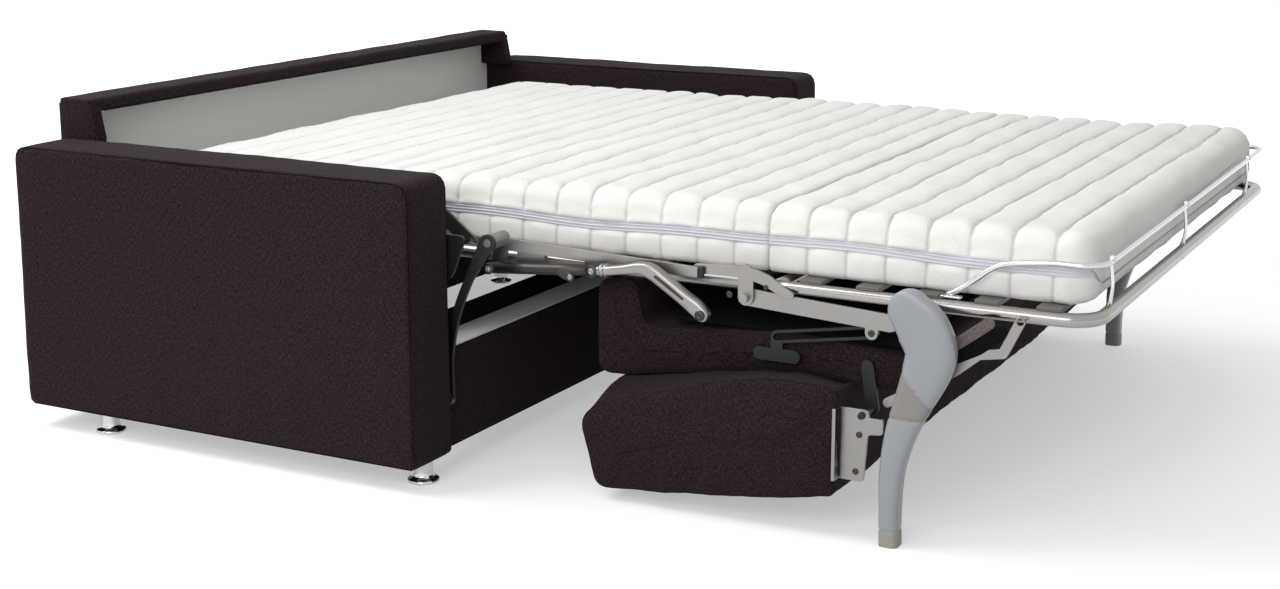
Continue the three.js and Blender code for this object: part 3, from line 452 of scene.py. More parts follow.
def normals(rings):
    """Outward normals of a grid of rings."""
    r = np.asarray(rings, float)
    du = np.roll(r, -1, 1) - np.roll(r, 1, 1)
    dv = np.gradient(r, axis=0)
    n = np.cross(du, dv)
    n /= np.maximum(np.linalg.norm(n, axis=2, keepdims=True), 1e-9)
    mid = r.reshape(-1, 3).mean(0)
    if ((r - mid) * n).sum() < 0:
        n = -n
    return n


def ripple(p, scale, seed):
    """Smooth repeatable noise of about unit size, from a few sines in turned directions."""
    gen = np.random.default_rng(100 + seed)
    total = np.zeros(p.shape[:-1])
    for octave in range(2):
        for _ in range(6):
            k = gen.normal(size=3)
            k *= 2 * np.pi / (scale / 2 ** octave) / np.linalg.norm(k) * gen.uniform(0.7, 1.3)
            total += np.sin(p @ k + gen.uniform(0, 6.28)) / 2 ** octave / 2.5
    return total


def crease(p, a, b, width, depth):
    """Depth of a soft fold along the line from a to b, at the points p."""
    a, b = np.array(a, float), np.array(b, float)
    t = np.clip(((p - a) @ (b - a)) / ((b - a) @ (b - a)), 0, 1)
    near = np.linalg.norm(p - (a + t[..., None] * (b - a)), axis=-1)
    end = np.sin(np.pi * np.clip(t, 0.02, 0.98)) ** 0.5
    side = near / width
    return depth * end * (-np.exp(-side ** 2) + 0.45 * np.exp(-((side - 1.7) / 0.8) ** 2))


def creases(p, d, x, table):
    """Add soft folds to both end panels, each given by two places in Y and Z, a width and a depth."""
    for sign in (-1, 1):
        for *place, width, depth in table:
            d = d + crease(p, (sign * x, *place[:2]), (sign * x, *place[2:]), width, depth)
    return d


def panel_rings(outline, spine, x, insets, out):
    """Rings of an end panel: the outline drawn in toward a spine line and crowned outward.

    Each inset has a distance from the outline and a rise; out is +1 or -1 in X.
    """
    o = np.asarray(outline)
    s = even(spine, 0.004)
    nearest = s[np.argmin(((o[:, None] - s[None]) ** 2).sum(-1), axis=1)]
    reach = np.linalg.norm(nearest - o, axis=1)
    steps, rises = np.array(insets).T
    rings = []
    for inset in steps:
        t = np.minimum(inset / np.maximum(reach, 1e-6), 0.995)
        yz = o + (nearest - o) * t[:, None]
        rings.append(np.column_stack([x + out * np.interp(t * reach, steps, rises), yz]))
    return rings


# an end panel's sewn seam as distances in from the outline with their rises, and the distances beyond it
SEAM = [(0.0, 0.0), (0.0012, 0.0012), (0.003, 0.0008), (0.0052, 0.0026), (0.009, 0.0042)]
PANEL_STEPS = (0.014, 0.021, 0.03, 0.042, 0.056, 0.072, 0.09, 0.115, 0.15, 0.2, 0.26, 0.35)


def cushion(outline, spine, half, crown, panel_crown, wrinkle, centre=0.0):
    """An upholstered form: an outline carried across the sofa between two sewn end panels."""
    o = np.asarray(outline)
    start, low = SEAM[-1]
    far = [(d, low + panel_crown * (1 - math.exp(-(d - start) / 0.045))) for d in PANEL_STEPS]
    spread = np.ptp(o, axis=0).min() / 2
    insets = [i for i in SEAM + far if i[0] < spread + 0.012]
    body_half = half - insets[-1][1]
    left = panel_rings(o, spine, centre - body_half, insets, -1)[::-1]
    right = panel_rings(o, spine, centre + body_half, insets, 1)
    xs = np.concatenate([[0.002, 0.0045, 0.008, 0.014, 0.024], np.arange(0.036, body_half, 0.012)])
    xs = np.unique(np.concatenate([-body_half + xs, body_half - xs]))
    xs = xs[np.insert(np.diff(xs) > 0.0015, 0, True)]
    tangent = np.roll(o, -1, 0) - np.roll(o, 1, 0)
    outward = np.column_stack([tangent[:, 1], -tangent[:, 0]])
    outward /= np.linalg.norm(outward, axis=1)[:, None]
    if ((o - o.mean(0)) * outward).sum() < 0:
        outward = -outward
    rings = list(left)
    for x in xs:
        d = body_half - abs(x)
        pull = -0.0016 * math.exp(-(d - 0.003) ** 2 / 0.0012 ** 2 / 4)
        swell = crown * (1 - math.exp(-d / 0.06)) + pull
        rings.append(np.column_stack([np.full(len(o), centre + x), o + outward * swell]))
    rings = np.array(rings + right)
    return skin(rings + normals(rings) * wrinkle(rings)[..., None])


def bevel_block(lo, hi, radius, cell=0.02, crown=0.0):
    """A block with rounded edges, slightly crowned faces and an even grid."""
    lo, hi = np.array(lo, float), np.array(hi, float)
    size = hi - lo
    count = np.maximum((size / cell).astype(int), 4)
    line = []
    for s, n in zip(size, count):
        spans = [(0, radius, 4), (radius, s - radius, n), (s - radius, s, 4)]
        line.append(np.unique(np.concatenate([np.linspace(*span) for span in spans])))
    index, verts, faces = {}, [], []

    def vertex(key):
        if key not in index:
            index[key] = len(verts)
            verts.append([line[a][key[a]] for a in range(3)])
        return index[key]

    for axis in range(3):
        u, w = (axis + 1) % 3, (axis + 2) % 3
        for end in (0, len(line[axis]) - 1):
            for i in range(len(line[u]) - 1):
                for j in range(len(line[w]) - 1):
                    quad = []
                    for di, dj in ((0, 0), (1, 0), (1, 1), (0, 1)):
                        key = [0, 0, 0]
                        key[axis], key[u], key[w] = end, i + di, j + dj
                        quad.append(vertex(tuple(key)))
                    faces.append(quad if end else quad[::-1])
    v = np.array(verts)
    inner = np.clip(v, radius, size - radius)
    delta = v - inner
    length = np.linalg.norm(delta, axis=1)[:, None]
    v = inner + delta / np.maximum(length, 1e-9) * radius
    rel = v / size * 2 - 1
    for a in range(3):
        b, c = (a + 1) % 3, (a + 2) % 3
        face = np.abs(rel[:, a]) > 0.999
        k = (1 - rel[:, b] ** 4) * (1 - rel[:, c] ** 4)
        v[:, a] += np.where(face, np.sign(rel[:, a]) * crown * k, 0)
    return v + lo, faces


def blade(route, widths, x0, x1, count, power, sides, flat_start=False):
    """A bowed bar seen from the side: a superellipse section along a curve, rounded at its end."""
    c = spline(route, count)
    w = np.interp(np.linspace(0, 1, count), np.linspace(0, 1, len(widths)), widths) / 2
    t = np.gradient(c, axis=0)
    t /= np.linalg.norm(t, axis=1)[:, None]
    n = np.column_stack([-t[:, 1], t[:, 0]])
    mid, half = (x0 + x1) / 2, (x1 - x0) / 2
    a = np.linspace(0, 2 * np.pi, sides, endpoint=False)
    u, v = (np.sign(s) * np.abs(s) ** (2 / power) for s in (np.cos(a), np.sin(a)))
    rings = []

    def ring(k, ahead, narrow, grow):
        place = c[k] + t[k] * w[k] * ahead
        across = n[k][:, None] * (w[k] * narrow * u)[None]
        rings.append(np.column_stack([mid + half * grow * v, *(place[:, None] + across)]))

    if not flat_start:
        for r in np.radians((80, 60, 40, 20)):
            ring(0, -math.sin(r), math.cos(r), 0.45 + 0.55 * math.cos(r) ** 0.5)
    for k in range(count):
        ring(k, 0.0, 1.0, 1.0)
    for r in np.radians((15, 30, 45, 60, 72, 82, 88)):
        ring(-1, math.sin(r), math.cos(r), 0.4 + 0.6 * math.cos(r) ** 0.5)
    return skin(rings)


def mirror(part):
    """The same mesh on the other side of the sofa."""
    v, f = part
    return np.asarray(v) * (-1, 1, 1), [list(face)[::-1] for face in f]


# Arms, back and base
ARM_IN, ARM_OUT, ARM_DEPTH, ARM_TOP, FLOOR_GAP = 0.8279, 0.9679, 0.976, 0.600, 0.050
ARM_HALF = 0.0695
BACK_HALF = 0.8276
RAIL_FRONT, RAIL_REAR = -0.954, -0.884


def add_arm(side, sign):
    corners = [(-ARM_DEPTH, FLOOR_GAP), (0.0, FLOOR_GAP), (0.0, ARM_TOP), (-ARM_DEPTH, ARM_TOP)]
    outline = even(rounded(corners, [0.008, 0.012, 0.030, 0.034], 10), 0.012, closed=True)
    spine = [(-0.72, 0.325), (-0.26, 0.325)]
    centre = sign * (ARM_IN + ARM_OUT) / 2

    def soft(r):
        d = 0.0011 * ripple(r, 0.45, 3) + 0.0005 * ripple(r, 0.12, 4)
        return d * np.clip((r[..., 2] - FLOOR_GAP) / 0.03, 0, 1)

    verts, faces = cushion(outline, spine, ARM_HALF, crown=0.0022, panel_crown=0.003, wrinkle=soft,
                           centre=centre)
    verts[:, 2] = np.maximum(verts[:, 2], FLOOR_GAP)
    verts[:, 1] = np.clip(verts[:, 1], -ARM_DEPTH, 0)
    put(f"arm_upholstery_{side}", verts, faces, UPHOLSTERY, "body", [f"arm_{side}"], "upholstery", pad=0.95)
    # stitched line round both end panels, its lower corners cut
    middle = outline.mean(0)
    loop = outline - (outline - middle) / np.linalg.norm(outline - middle, axis=1)[:, None] * 0.0036
    loop = loop[(loop[:, 1] > FLOOR_GAP + 0.012) | (np.abs(loop[:, 0] + 0.488) < 0.48)]
    loop = np.vstack([loop, loop[:1]])
    stitched = []
    for face in (-1, 1):
        x = centre + face * (ARM_HALF - 0.0072 + 0.0011)
        stitched.append(pipe([(x, y, max(z, FLOOR_GAP + 0.002)) for y, z in loop], 0.0012, 6))
    verts, faces, _ = merge(*stitched)
    put(f"arm_stitching_{side}", verts, faces, SEAMED, "body", slot="upholstery")


def add_back():
    board = bevel_block((-BACK_HALF, -0.012, FLOOR_GAP), (BACK_HALF, 0.0, 0.667), 0.004, 0.03)
    put("back_panel", *board, UPHOLSTERY, "body", ["back_board"], "upholstery")
    corners = [(-0.089, 0.657), (-0.0185, 0.657), (-0.0185, 0.6677), (0.0, 0.668), (0.0, 0.685),
               (-0.084, 0.685)]
    top = even(rounded(corners, [0.003, 0.001, 0.001, 0.001, 0.009, 0.009], 5), 0.004, closed=True)
    mid = top.mean(0)
    ends = np.array([0.0, 0.0006, 0.003, 0.007])
    between = np.linspace(0.014 - BACK_HALF, BACK_HALF - 0.014, 90)
    rings = []
    for x in np.concatenate([ends - BACK_HALF, between, (BACK_HALF - ends)[::-1]]):
        k = 1 - 0.12 * math.exp(-(BACK_HALF - abs(x)) / 0.002)
        rings.append(np.column_stack([np.full(len(top), x), mid + (top - mid) * k]))
    rings = np.array(rings)
    rings[..., 2] -= 0.0006 * (1 + ripple(rings, 0.3, 5)) * (rings[..., 2] > 0.675)
    put("back_beam_upholstery", *skin(rings), UPHOLSTERY, "body", ["back_top_beam"], "upholstery")
    corners = [(-0.104, 0.592), (-0.0175, 0.592), (-0.0175, 0.6667), (-0.0886, 0.6667)]
    shape = even(rounded(corners, [0.008, 0.002, 0.002, 0.004], 4), 0.005, closed=True)
    mid = shape.mean(0)
    stations = ((0.7977, 0.9), (0.7982, 0.965), (0.8, 1.0), (0.812, 1.0), (0.825, 1.0), (0.8272, 0.97),
                (BACK_HALF, 0.9))
    for side, sign in SIDES:
        rings = []
        for x, k in stations:
            rings.append(np.column_stack([np.full(len(shape), sign * x), mid + (shape - mid) * k]))
        put(f"back_cheek_upholstery_{side}", *skin(rings if sign > 0 else rings[::-1]), UPHOLSTERY, "body",
            [f"back_cheek_{side}"], "upholstery")
    # thin cover on each end of the back, which closes the gap beside the arm
    cover = bevel_block((0.8263, -0.0882, 0.590), (0.8278, -0.0005, 0.6730), 0.0005)
    for side, sign in SIDES:
        shape = cover if sign > 0 else mirror(cover)
        put(f"back_end_cover_{side}", *shape, UPHOLSTERY, "body", slot="upholstery")
    # sewn edge along the recess, under the beam
    route = [(x, -0.0892, 0.6580) for x in np.linspace(-0.79, 0.79, 40)]
    put("back_edge_seam", *pipe(route, 0.0016, 8), SEAMED, "body", slot="upholstery")


def add_rail():
    parts = [bevel_block((-0.7976, RAIL_FRONT, FLOOR_GAP), (0.7976, RAIL_REAR, 0.2507), 0.005, crown=0.0006)]
    for x in (-0.812, 0.812):
        low, high = (x - 0.0156, RAIL_FRONT, FLOOR_GAP), (x + 0.0156, RAIL_REAR, 0.125)
        parts.append(bevel_block(low, high, 0.004, 0.015))
    v, f, _ = merge(*parts)
    put("front_rail_upholstery", v, f, UPHOLSTERY, "body", ["front_rail"], "upholstery")
    # soft black lip behind the rail
    strip = bevel_block((-0.794, -0.8838, 0.2565), (0.794, -0.8802, 0.2985), 0.0015)
    lip = put("rail_soft_lip", *strip, BLACK, "body", slot="black_trim", pad=0.95)
    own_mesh(lip)


def add_feet():
    profile = [(0.030, 0.0), (0.0313, 0.0008), (0.0315, 0.0025), (0.0313, 0.0056), (0.030, 0.0072),
               (0.026, 0.0082), (0.0222, 0.0094), (0.0202, 0.0118), (0.0192, 0.0160), (0.019, 0.020),
               (0.019, 0.0452), (0.0194, 0.0457), (0.0236, 0.0457), (0.024, 0.0462), (0.024, 0.0492),
               (0.0236, 0.0497)]
    places = {"foot_front": (0.8729, -0.935), "foot_rear": (0.9109, -0.173), "foot_inner": (0.650, -0.165)}
    for node, (x, y) in places.items():
        for side, sign in SIDES:
            v, f = turned(profile, np.array((sign * x, y, 0.0)))
            put(f"{node}_turned_{side}", v, f, CHROME, "body", [f"{node}_{side}"], "chrome")


for side, sign in SIDES:
    add_arm(side, sign)
add_back()
add_rail()
add_feet()


# Mattress: its top and underside, half its width, the fold at its head part and the height of its zip
TOP, BOTTOM, BED_HALF, HEAD_Y, ZIP_Z = 0.572, 0.447, 0.700, -0.8562, 0.505
# the side near the zip: height above the zip, and how far the cloth stands back
ZIP_SIDE = [(0.016, 0.0012), (0.0115, 0.0016), (0.0085, 0.0042), (0.0075, 0.0052), (0.0066, 0.0036),
            (0.0052, 0.0036), (0.0044, 0.0052), (0.0012, 0.0052), (0.0006, 0.0030), (-0.0006, 0.0030),
            (-0.0012, 0.0052), (-0.0044, 0.0052), (-0.0052, 0.0036), (-0.0066, 0.0036), (-0.0075, 0.0052),
            (-0.0095, 0.0046), (-0.014, 0.0022), (-0.022, 0.0008)]


def seams(y, first):
    """Share of the channel at y, zero in the sewn seam."""
    return np.mod((first - y) / PITCH, 1.0)


def section(y, first, head, taper, drop, inset):
    """Ring of the mattress at y: over the top, down one side, along the bottom and up the other."""
    share = seams(y, first)
    swell = 1 - np.exp(-np.minimum(share, 1 - share) / 0.07)
    swell = swell * (0.80 + 0.20 * np.sin(np.pi * share) ** 0.5)
    depth = 0.0105 * (0.5 if head else 1.0)
    top_z = TOP - 0.0005 - depth * (1 - swell) - drop
    low_z = BOTTOM + taper
    groove = 0.0055 * (1 - swell)
    half = BED_HALF - inset
    r = 0.040
    pts = [(x, top_z) for x in np.linspace(0, half - r, 46)]
    for a in np.radians([12, 25, 38, 50, 62, 74, 84]):
        pts.append((half - r + (r - 0.006) * math.sin(a), top_z - r + r * math.cos(a)))
    for z, back in [(top_z - r - 0.004, 0.0035)] + [(ZIP_Z + up, back) for up, back in ZIP_SIDE]:
        on_tape = abs(z - ZIP_Z) < 0.009
        pts.append((half - back - (0 if on_tape else groove * 0.75), min(z, top_z - r - 0.001)))
    for a in np.radians([0, 18, 36, 54, 72, 90]):
        pts.append((half - 0.014 - groove * 0.6 + 0.013 * math.cos(a), low_z + 0.014 - 0.014 * math.sin(a)))
    for x in np.linspace(half - 0.06, 0, 14):
        pts.append((x, low_z))
    right = np.array(pts)
    left = right[::-1][1:-1] * (-1, 1)
    return np.vstack([right, left])


def mattress(name, y_front, y_rear, first, body, nodes, round_front, round_rear, cover, head_from=None):
    """A pad with sewn channels and rounded ends; its channels are shallower behind head_from."""
    ys = set(np.round(np.arange(y_front, y_rear, 0.0075), 5)) | {y_rear}
    for k in range(-5, 60):
        s = first - k * PITCH
        if y_front + 0.004 < s < y_rear - 0.004:
            ys |= {round(s, 5), round(s - 0.002, 5), round(s + 0.002, 5)}
    ys = sorted(ys)
    keep = [ys[0]]
    for y in ys[1:]:
        if y - keep[-1] > 0.0012:
            keep.append(y)
    rings = []
    for y in keep:
        drop = inset = taper = 0.0
        for d, r in ((y - y_front, round_front), (y_rear - y, round_rear)):
            if d < r:
                k = 1 - math.sqrt(max(1 - (1 - d / r) ** 2, 0))
                drop = max(drop, k * r * 0.9)
                inset = max(inset, k * r)
                taper = max(taper, k * min(r, 0.018))
        head = head_from is not None and y > head_from
        ring = section(y, first, head, taper, drop, inset)
        rings.append(np.column_stack([ring[:, 0], np.full(len(ring), y), ring[:, 1]]))
    rings = np.array(rings)
    outward = normals(rings)
    share = seams(rings[..., 1], first)
    valley = np.exp(-np.minimum(share, 1 - share) / 0.16)
    top_side = np.clip((rings[..., 2] - 0.50) / 0.03, 0, 1)
    channel = np.floor((first - rings[..., 1]) / PITCH)
    pucker = np.zeros(rings.shape[:2])
    for k, (length, amount) in enumerate(((0.032, 0.0009), (0.017, 0.0005), (0.060, 0.0009))):
        phase = channel * 2.4 * (k + 1)
        pucker += amount * np.sin(rings[..., 0] * 2 * np.pi / length + phase + 1.5 * ripple(rings, 0.2, k))
    d = pucker * valley * 0.9 + 0.0016 * ripple(rings, 0.33, 21) + 0.0009 * ripple(rings, 0.11, 22)
    d = d * top_side
    d += 0.0012 * ripple(rings * (1, 1, 0.4), 0.045, 30) * (1 - top_side) * (rings[..., 2] > 0.45)
    edge = (np.abs(rings[..., 2] - ZIP_Z) < 0.010) & (np.abs(rings[..., 0]) > BED_HALF - 0.03)
    rings = rings + outward * np.where(edge, 0, d)[..., None]
    # over the base the pad stays lower, for the parts that fold down onto it
    highest = np.where(rings[..., 1] > -0.93, TOP - 0.0016, TOP + 0.003)
    rings[..., 2] = np.clip(rings[..., 2], BOTTOM - 0.0005, highest)
    # the head end is a little thinner, where the folded foot part and the backrest come to lie on it
    thin = np.clip((rings[..., 1] + 0.75) / 0.09, 0, 1)
    rings[..., 2] -= 0.0034 * thin * thin * (3 - 2 * thin) * np.clip((rings[..., 2] - 0.52) / 0.03, 0, 1)
    # the zip line wanders a little, as sewn bands do
    wander = 0.0035 * np.sin(rings[..., 1] * 7.0 + 0.6) + 0.002 * np.sin(rings[..., 1] * 17.0)
    wander = wander * np.clip(1 - np.abs(rings[..., 2] - ZIP_Z) / 0.04, 0, 1)
    on_side = (np.abs(rings[..., 0]) > BED_HALF - 0.04) & (rings[..., 2] < 0.53) & (rings[..., 2] > 0.462)
    rings[..., 2] += np.where(on_side, wander, 0)
    ring = rings[len(rings) // 2]
    near = np.abs(ring[:, 2] - ZIP_Z) < 0.0125
    tape = near & np.roll(near, -1) & (np.abs(ring[:, 0]) > BED_HALF - 0.012)
    pick = [*np.tile(tape, len(rings) - 1), 0, 0]
    verts, faces = skin(rings)
    return put(name, verts, faces, [cover, ZIP], body, nodes, "ticking", pick=pick, pad=0.8)


rear_pad = mattress("mattress_pad_rear", -1.5779, -0.186, REAR_FIRST, None,
                    ["mattress_head", "mattress_middle"], round_front=0.003, round_rear=0.055,
                    cover=TICKING, head_from=-0.62)
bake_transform(rear_pad)
mattress("mattress_pad_foot", -2.175, -1.5785, FOOT_FIRST, "bed_foot", ["mattress_foot"],
         round_front=0.050, round_rear=0.003, cover=FOOT_TICKING)


# Foot frame and retaining bail
def u_route(side, x, y, z, r, across):
    """A route for a bent tube: along one side, round a bend, across the bed and back the same way."""
    bend = [(x - r + r * math.cos(a), y + r - r * math.sin(a), z) for a in np.linspace(0, np.pi / 2, 12)[1:]]
    half = side + bend
    front = [(t, y, z) for t in np.linspace(x - r, -x + r, across)[1:-1]]
    return half + front + [(-a, b, c) for a, b, c in half[::-1]]


def add_foot_frame():
    x, y, z, radius, bend = 0.7275, -2.1875, 0.4295, 0.0125, 0.058
    side = [(x, t, z) for t in np.linspace(-1.5982, y + bend, 14)]
    tubes = [pipe(u_route(side, x, y, z, bend, 24), radius, 24),
             pipe([(t, -1.6107, z) for t in np.linspace(-x, x, 8)], radius, 20)]
    laths = [bevel_block((-x, t - 0.022, 0.4388), (x, t + 0.022, 0.4475), 0.002, 0.06)
             for t in np.linspace(-2.108, -1.675, 5)]
    v, f, pick = merge(*tubes, *laths)
    pick = [int(k >= len(tubes)) for k in pick]
    put("foot_frame_tube", v, f, [TUBE, LATH], "bed_foot", ["foot_frame"], "satin_steel", pick=pick)


def add_bail():
    x, y, top, bend = 0.715, -2.1925, 0.522, 0.045
    ramp = [(x + 0.001, -1.925, 0.4475), (x + 0.001, -1.938, 0.4535), (x, -1.958, 0.4665),
            (x, -1.980, 0.4835), (x, -2.000, 0.499), (x, -2.018, 0.5085), (x, -2.040, 0.514),
            (x, -2.075, 0.5185), (x, -2.11, top), (x, y + bend, top)]
    side = [tuple(p) for p in even(spline(ramp, 60), 0.006)]
    parts = [pipe(u_route(side, x, y, top, bend, 40), 0.005, 14)]
    for _, sign in SIDES:
        # flattened, pressed end on the frame tube, with its rivet
        end_x = sign * (x + 0.0035)
        v, f = bevel_block((-0.007, -0.028, -0.0022), (0.007, 0.008, 0.0026), 0.002, 0.006)
        parts.append((v + (end_x, -1.924, 0.4455), f))
        dome = [(0.0001, 0.0035), (0.003, 0.0034), (0.0042, 0.0022), (0.0046, 0.0)]
        parts.append(turned(dome, np.array((end_x, -1.935, 0.4478))))
    # the two wires of a clip, which hook over the bail: X from the clip's place, Y from the bail, Z
    hook = [(-0.0052, top), (-0.001, top + 0.0062), (0.0045, top + 0.003), (0.002, top - 0.016),
            (-0.001, 0.478)]
    wires = [((-0.004, -0.004, -0.004, 0.0, 0.0, 0.0, 0.001), [*hook, (0.002, 0.456), (0.006, 0.4445)]),
             ((0.006, 0.005, 0.005, 0.006, 0.006, 0.006), [*hook, (0.002, 0.4445)])]
    for clip in (-0.651, -0.091, 0.525):
        for places in wires:
            route = [(clip + dx, y + dy, z) for dx, (dy, z) in zip(*places)]
            parts.append(pipe(spline(route, 30), 0.0024, 10))
    v, f, _ = merge(*parts)
    put("retaining_wire", v, f, CHROME, "bed_foot", ["retaining_bail"], "chrome")


add_foot_frame()
add_bail()


# Legs
def add_legs():
    """Bowed legs with a collar and a foot cap; their places and widths are shares of height and width."""
    foot_y, height, width = -1.8566, 0.465, 0.094
    x0, x1, steps = 0.7566, 0.7966, 230
    cap_top, collar_low = 0.030, 0.236
    places = [(0, 0), (0.003, 0.14), (-0.002, 0.295), (-0.031, 0.441), (-0.076, 0.566), (-0.123, 0.692),
              (-0.138, 0.776), (-0.104, 0.856), (-0.053, 0.918)]
    widths = [width * s for s in (0.383, 0.388, 0.452, 0.574, 0.702, 0.894, 0.979, 1.0, 0.81)]
    route = [(foot_y + height * y, height * z) for y, z in places]
    v, f = blade(route, widths, x0, x1, steps, power=3.6, sides=40, flat_start=True)
    centre = spline(route, steps)

    def cover_edge(y):
        return 0.262 + 1.1 * (y + 1.925)

    # a fine groove where cap, collar and cover meet
    near = np.minimum(np.abs(v[:, 2] - cap_top), np.abs(v[:, 2] - collar_low))
    near = np.where(v[:, 2] > 0.25, np.abs(v[:, 2] - cover_edge(v[:, 1])), near)
    groove = 0.0013 * np.exp(-(near / 0.0022) ** 2)
    v[:, 0] += np.sign((x0 + x1) / 2 - v[:, 0]) * groove
    v[:, 1] += np.sign(np.interp(v[:, 2], centre[:, 1], centre[:, 0]) - v[:, 1]) * groove
    mids = np.array([v[face].mean(0) for face in f])
    collar = (mids[:, 2] > collar_low) & (mids[:, 2] < cover_edge(mids[:, 1]))
    pick = np.where(mids[:, 2] < cap_top, 2, np.where(collar, 1, 0))
    v[v[:, 2] < 0.0005, 2] = 0.0
    for side, sign in SIDES:
        shape = (v, f) if sign > 0 else mirror((v, f))
        put(f"leg_blade_{side}", *shape, [LEG, COLLAR, CAP], "legs",
            [f"leg_core_{side}", f"leg_cover_{side}", f"leg_cap_{side}"], "leg_grey", pick=pick)


add_legs()


# Seat and backrest: the seat's underside, and the sewn border of each cushion
SEAT_UNDER = np.array([(-1.90, 0.266), (-1.84, 0.2655), (-1.743, 0.267), (-1.66, 0.277), (-1.59, 0.272),
                       (-1.42, 0.243), (-1.30, 0.225), (-1.2, 0.2235)])
SEAT_SEAM = [(-1.338, 0.3275), (-1.40, 0.3285), (-1.46, 0.3305), (-1.55, 0.339), (-1.64, 0.3455),
             (-1.70, 0.3445), (-1.755, 0.339), (-1.855, 0.329)]
BACK_SEAM = np.array([(-1.80, 0.262), (-1.757, 0.272), (-1.737, 0.2815), (-1.70, 0.2852), (-1.63, 0.283),
                      (-1.52, 0.262), (-1.44, 0.236), (-1.35, 0.211), (-1.279, 0.185), (-1.24, 0.165)])


def add_seat():
    corners = [(-1.242, 0.2235), (-1.242, 0.409), (-1.322, 0.414), *SEAT_SEAM, (-1.868, 0.323),
               (-1.868, 0.285), *SEAT_UNDER[1:-1]]
    radii = [0.034, 0.030, 0.026, 0.020, *[0.03] * 7, 0.008, 0.02, *[0.03] * 6]
    outline = even(rounded(corners, radii, 8), 0.005, closed=True)
    spine = spline([(-1.281, 0.375), (-1.281, 0.310), (-1.292, 0.282), (-1.33, 0.276), (-1.45, 0.288),
                    (-1.64, 0.311), (-1.83, 0.297)], 60)
    table = [(-1.452, 0.325, -1.432, 0.262, 0.008, 0.0013), (-1.475, 0.322, -1.468, 0.27, 0.007, 0.0012),
             (-1.33, 0.31, -1.30, 0.26, 0.014, 0.0016), (-1.52, 0.32, -1.53, 0.282, 0.009, 0.0009),
             (-1.72, 0.33, -1.70, 0.285, 0.01, 0.001)]

    def folds(r):
        d = 0.0010 * ripple(r, 0.17, 40) + 0.0005 * ripple(r * (1, 1, 0.5), 0.05, 41)
        return creases(r, d, 0.73, table)

    v, f = cushion(outline, spine, half=0.7335, crown=0.0, panel_crown=0.007, wrinkle=folds)
    put("seat_pad", v, f, UPHOLSTERY, "seat", ["seat_cushion"], "upholstery", pad=0.85)


def add_backrest():
    corners = [(-1.279, 0.0225), (-1.2465, 0.150), *BACK_SEAM[2:-1][::-1], (-1.762, 0.270), (-1.762, 0.081),
               (-1.52, 0.044)]
    radii = [0.026, 0.028, *[0.03] * 7, 0.02, 0.014, 0.05]
    outline = even(rounded(corners, radii, 8), 0.006, closed=True)
    spine = spline([(-1.335, 0.100), (-1.45, 0.135), (-1.56, 0.160), (-1.67, 0.178)], 40)
    table = [(-1.662, 0.262, -1.745, 0.246, 0.007, 0.0042), (-1.676, 0.243, -1.735, 0.240, 0.006, 0.0034),
             (-1.64, 0.222, -1.755, 0.212, 0.010, 0.0036), (-1.735, 0.276, -1.748, 0.240, 0.009, 0.0030),
             (-1.60, 0.262, -1.52, 0.225, 0.014, 0.0016), (-1.62, 0.25, -1.56, 0.195, 0.016, 0.0016),
             (-1.70, 0.20, -1.66, 0.12, 0.02, 0.0014), (-1.50, 0.20, -1.44, 0.13, 0.02, 0.0010)]

    def folds(r):
        d = 0.0012 * ripple(r, 0.18, 50) + 0.0005 * ripple(r, 0.05, 51)
        return creases(r, d, 0.816, table)

    v, f = cushion(outline, spine, half=0.820, crown=0.0, panel_crown=0.011, wrinkle=folds)
    # the seat presses into the top, and the free border stands up beside it
    rest = np.interp(v[:, 1], *SEAT_UNDER.T) - 0.0015
    rest = np.where(v[:, 1] > -1.31, rest - (v[:, 1] + 1.31) ** 2 * 9.0, rest)
    border = np.interp(v[:, 1], *BACK_SEAM.T)
    inward = np.clip((0.812 - np.abs(v[:, 0])) / 0.085, 0, 1)
    inward = inward * inward * (3 - 2 * inward)
    high = np.clip((v[:, 2] - border + 0.05) / 0.05, 0, 1) * np.clip((v[:, 1] + 1.765) / 0.02, 0, 1)
    high = high * np.clip((-1.24 - v[:, 1]) / 0.02, 0, 1)
    v[:, 2] += (rest - border) * inward * high
    put("backrest_pad", v, f, UPHOLSTERY, "backrest", ["backrest_cushion"], "upholstery", pad=0.85)


add_seat()
add_backrest()


# Side gear, with X of the middle of the bent arm and the drive tube
PIN_X = 0.7838


def rivet(x, y, z, radius, height):
    """A domed head on the outer face of a right-hand plate."""
    shape = [(1.0, -0.2), (1.0, 0.35), (0.92, 0.62), (0.7, 0.88), (0.42, 1.0), (0.36, 0.97), (0.30, 0.72),
             (0.05, 0.70)]
    return turned([(radius * a, height * b) for a, b in shape], np.array((x, y, z)), "x", 28)


def screw(x, y, z, radius, height):
    """A round head that faces the foot of the bed."""
    shape = [(1.0, -0.2), (1.0, 0.4), (0.85, 0.8), (0.45, 1.0), (0.38, 0.95), (0.3, 0.6), (0.05, 0.6)]
    v, f = turned([(radius * a, height * b) for a, b in shape], np.zeros(3))
    return np.column_stack([v[:, 0], -v[:, 2], v[:, 1]]) + (x, y, z), f


def gear(name, parts, mats, body, nodes=(), slot="satin_steel", choose=None):
    """Put merged parts on both sides; choose gives the material of each part."""
    v, f, pick = merge(*parts)
    pick = [choose[k] for k in pick] if choose else None
    for side, sign in SIDES:
        shape = (v, f) if sign > 0 else mirror((v, f))
        put(f"{name}_{side}", *shape, mats, body, [f"{n}_{side}" for n in nodes], slot, pick=pick)


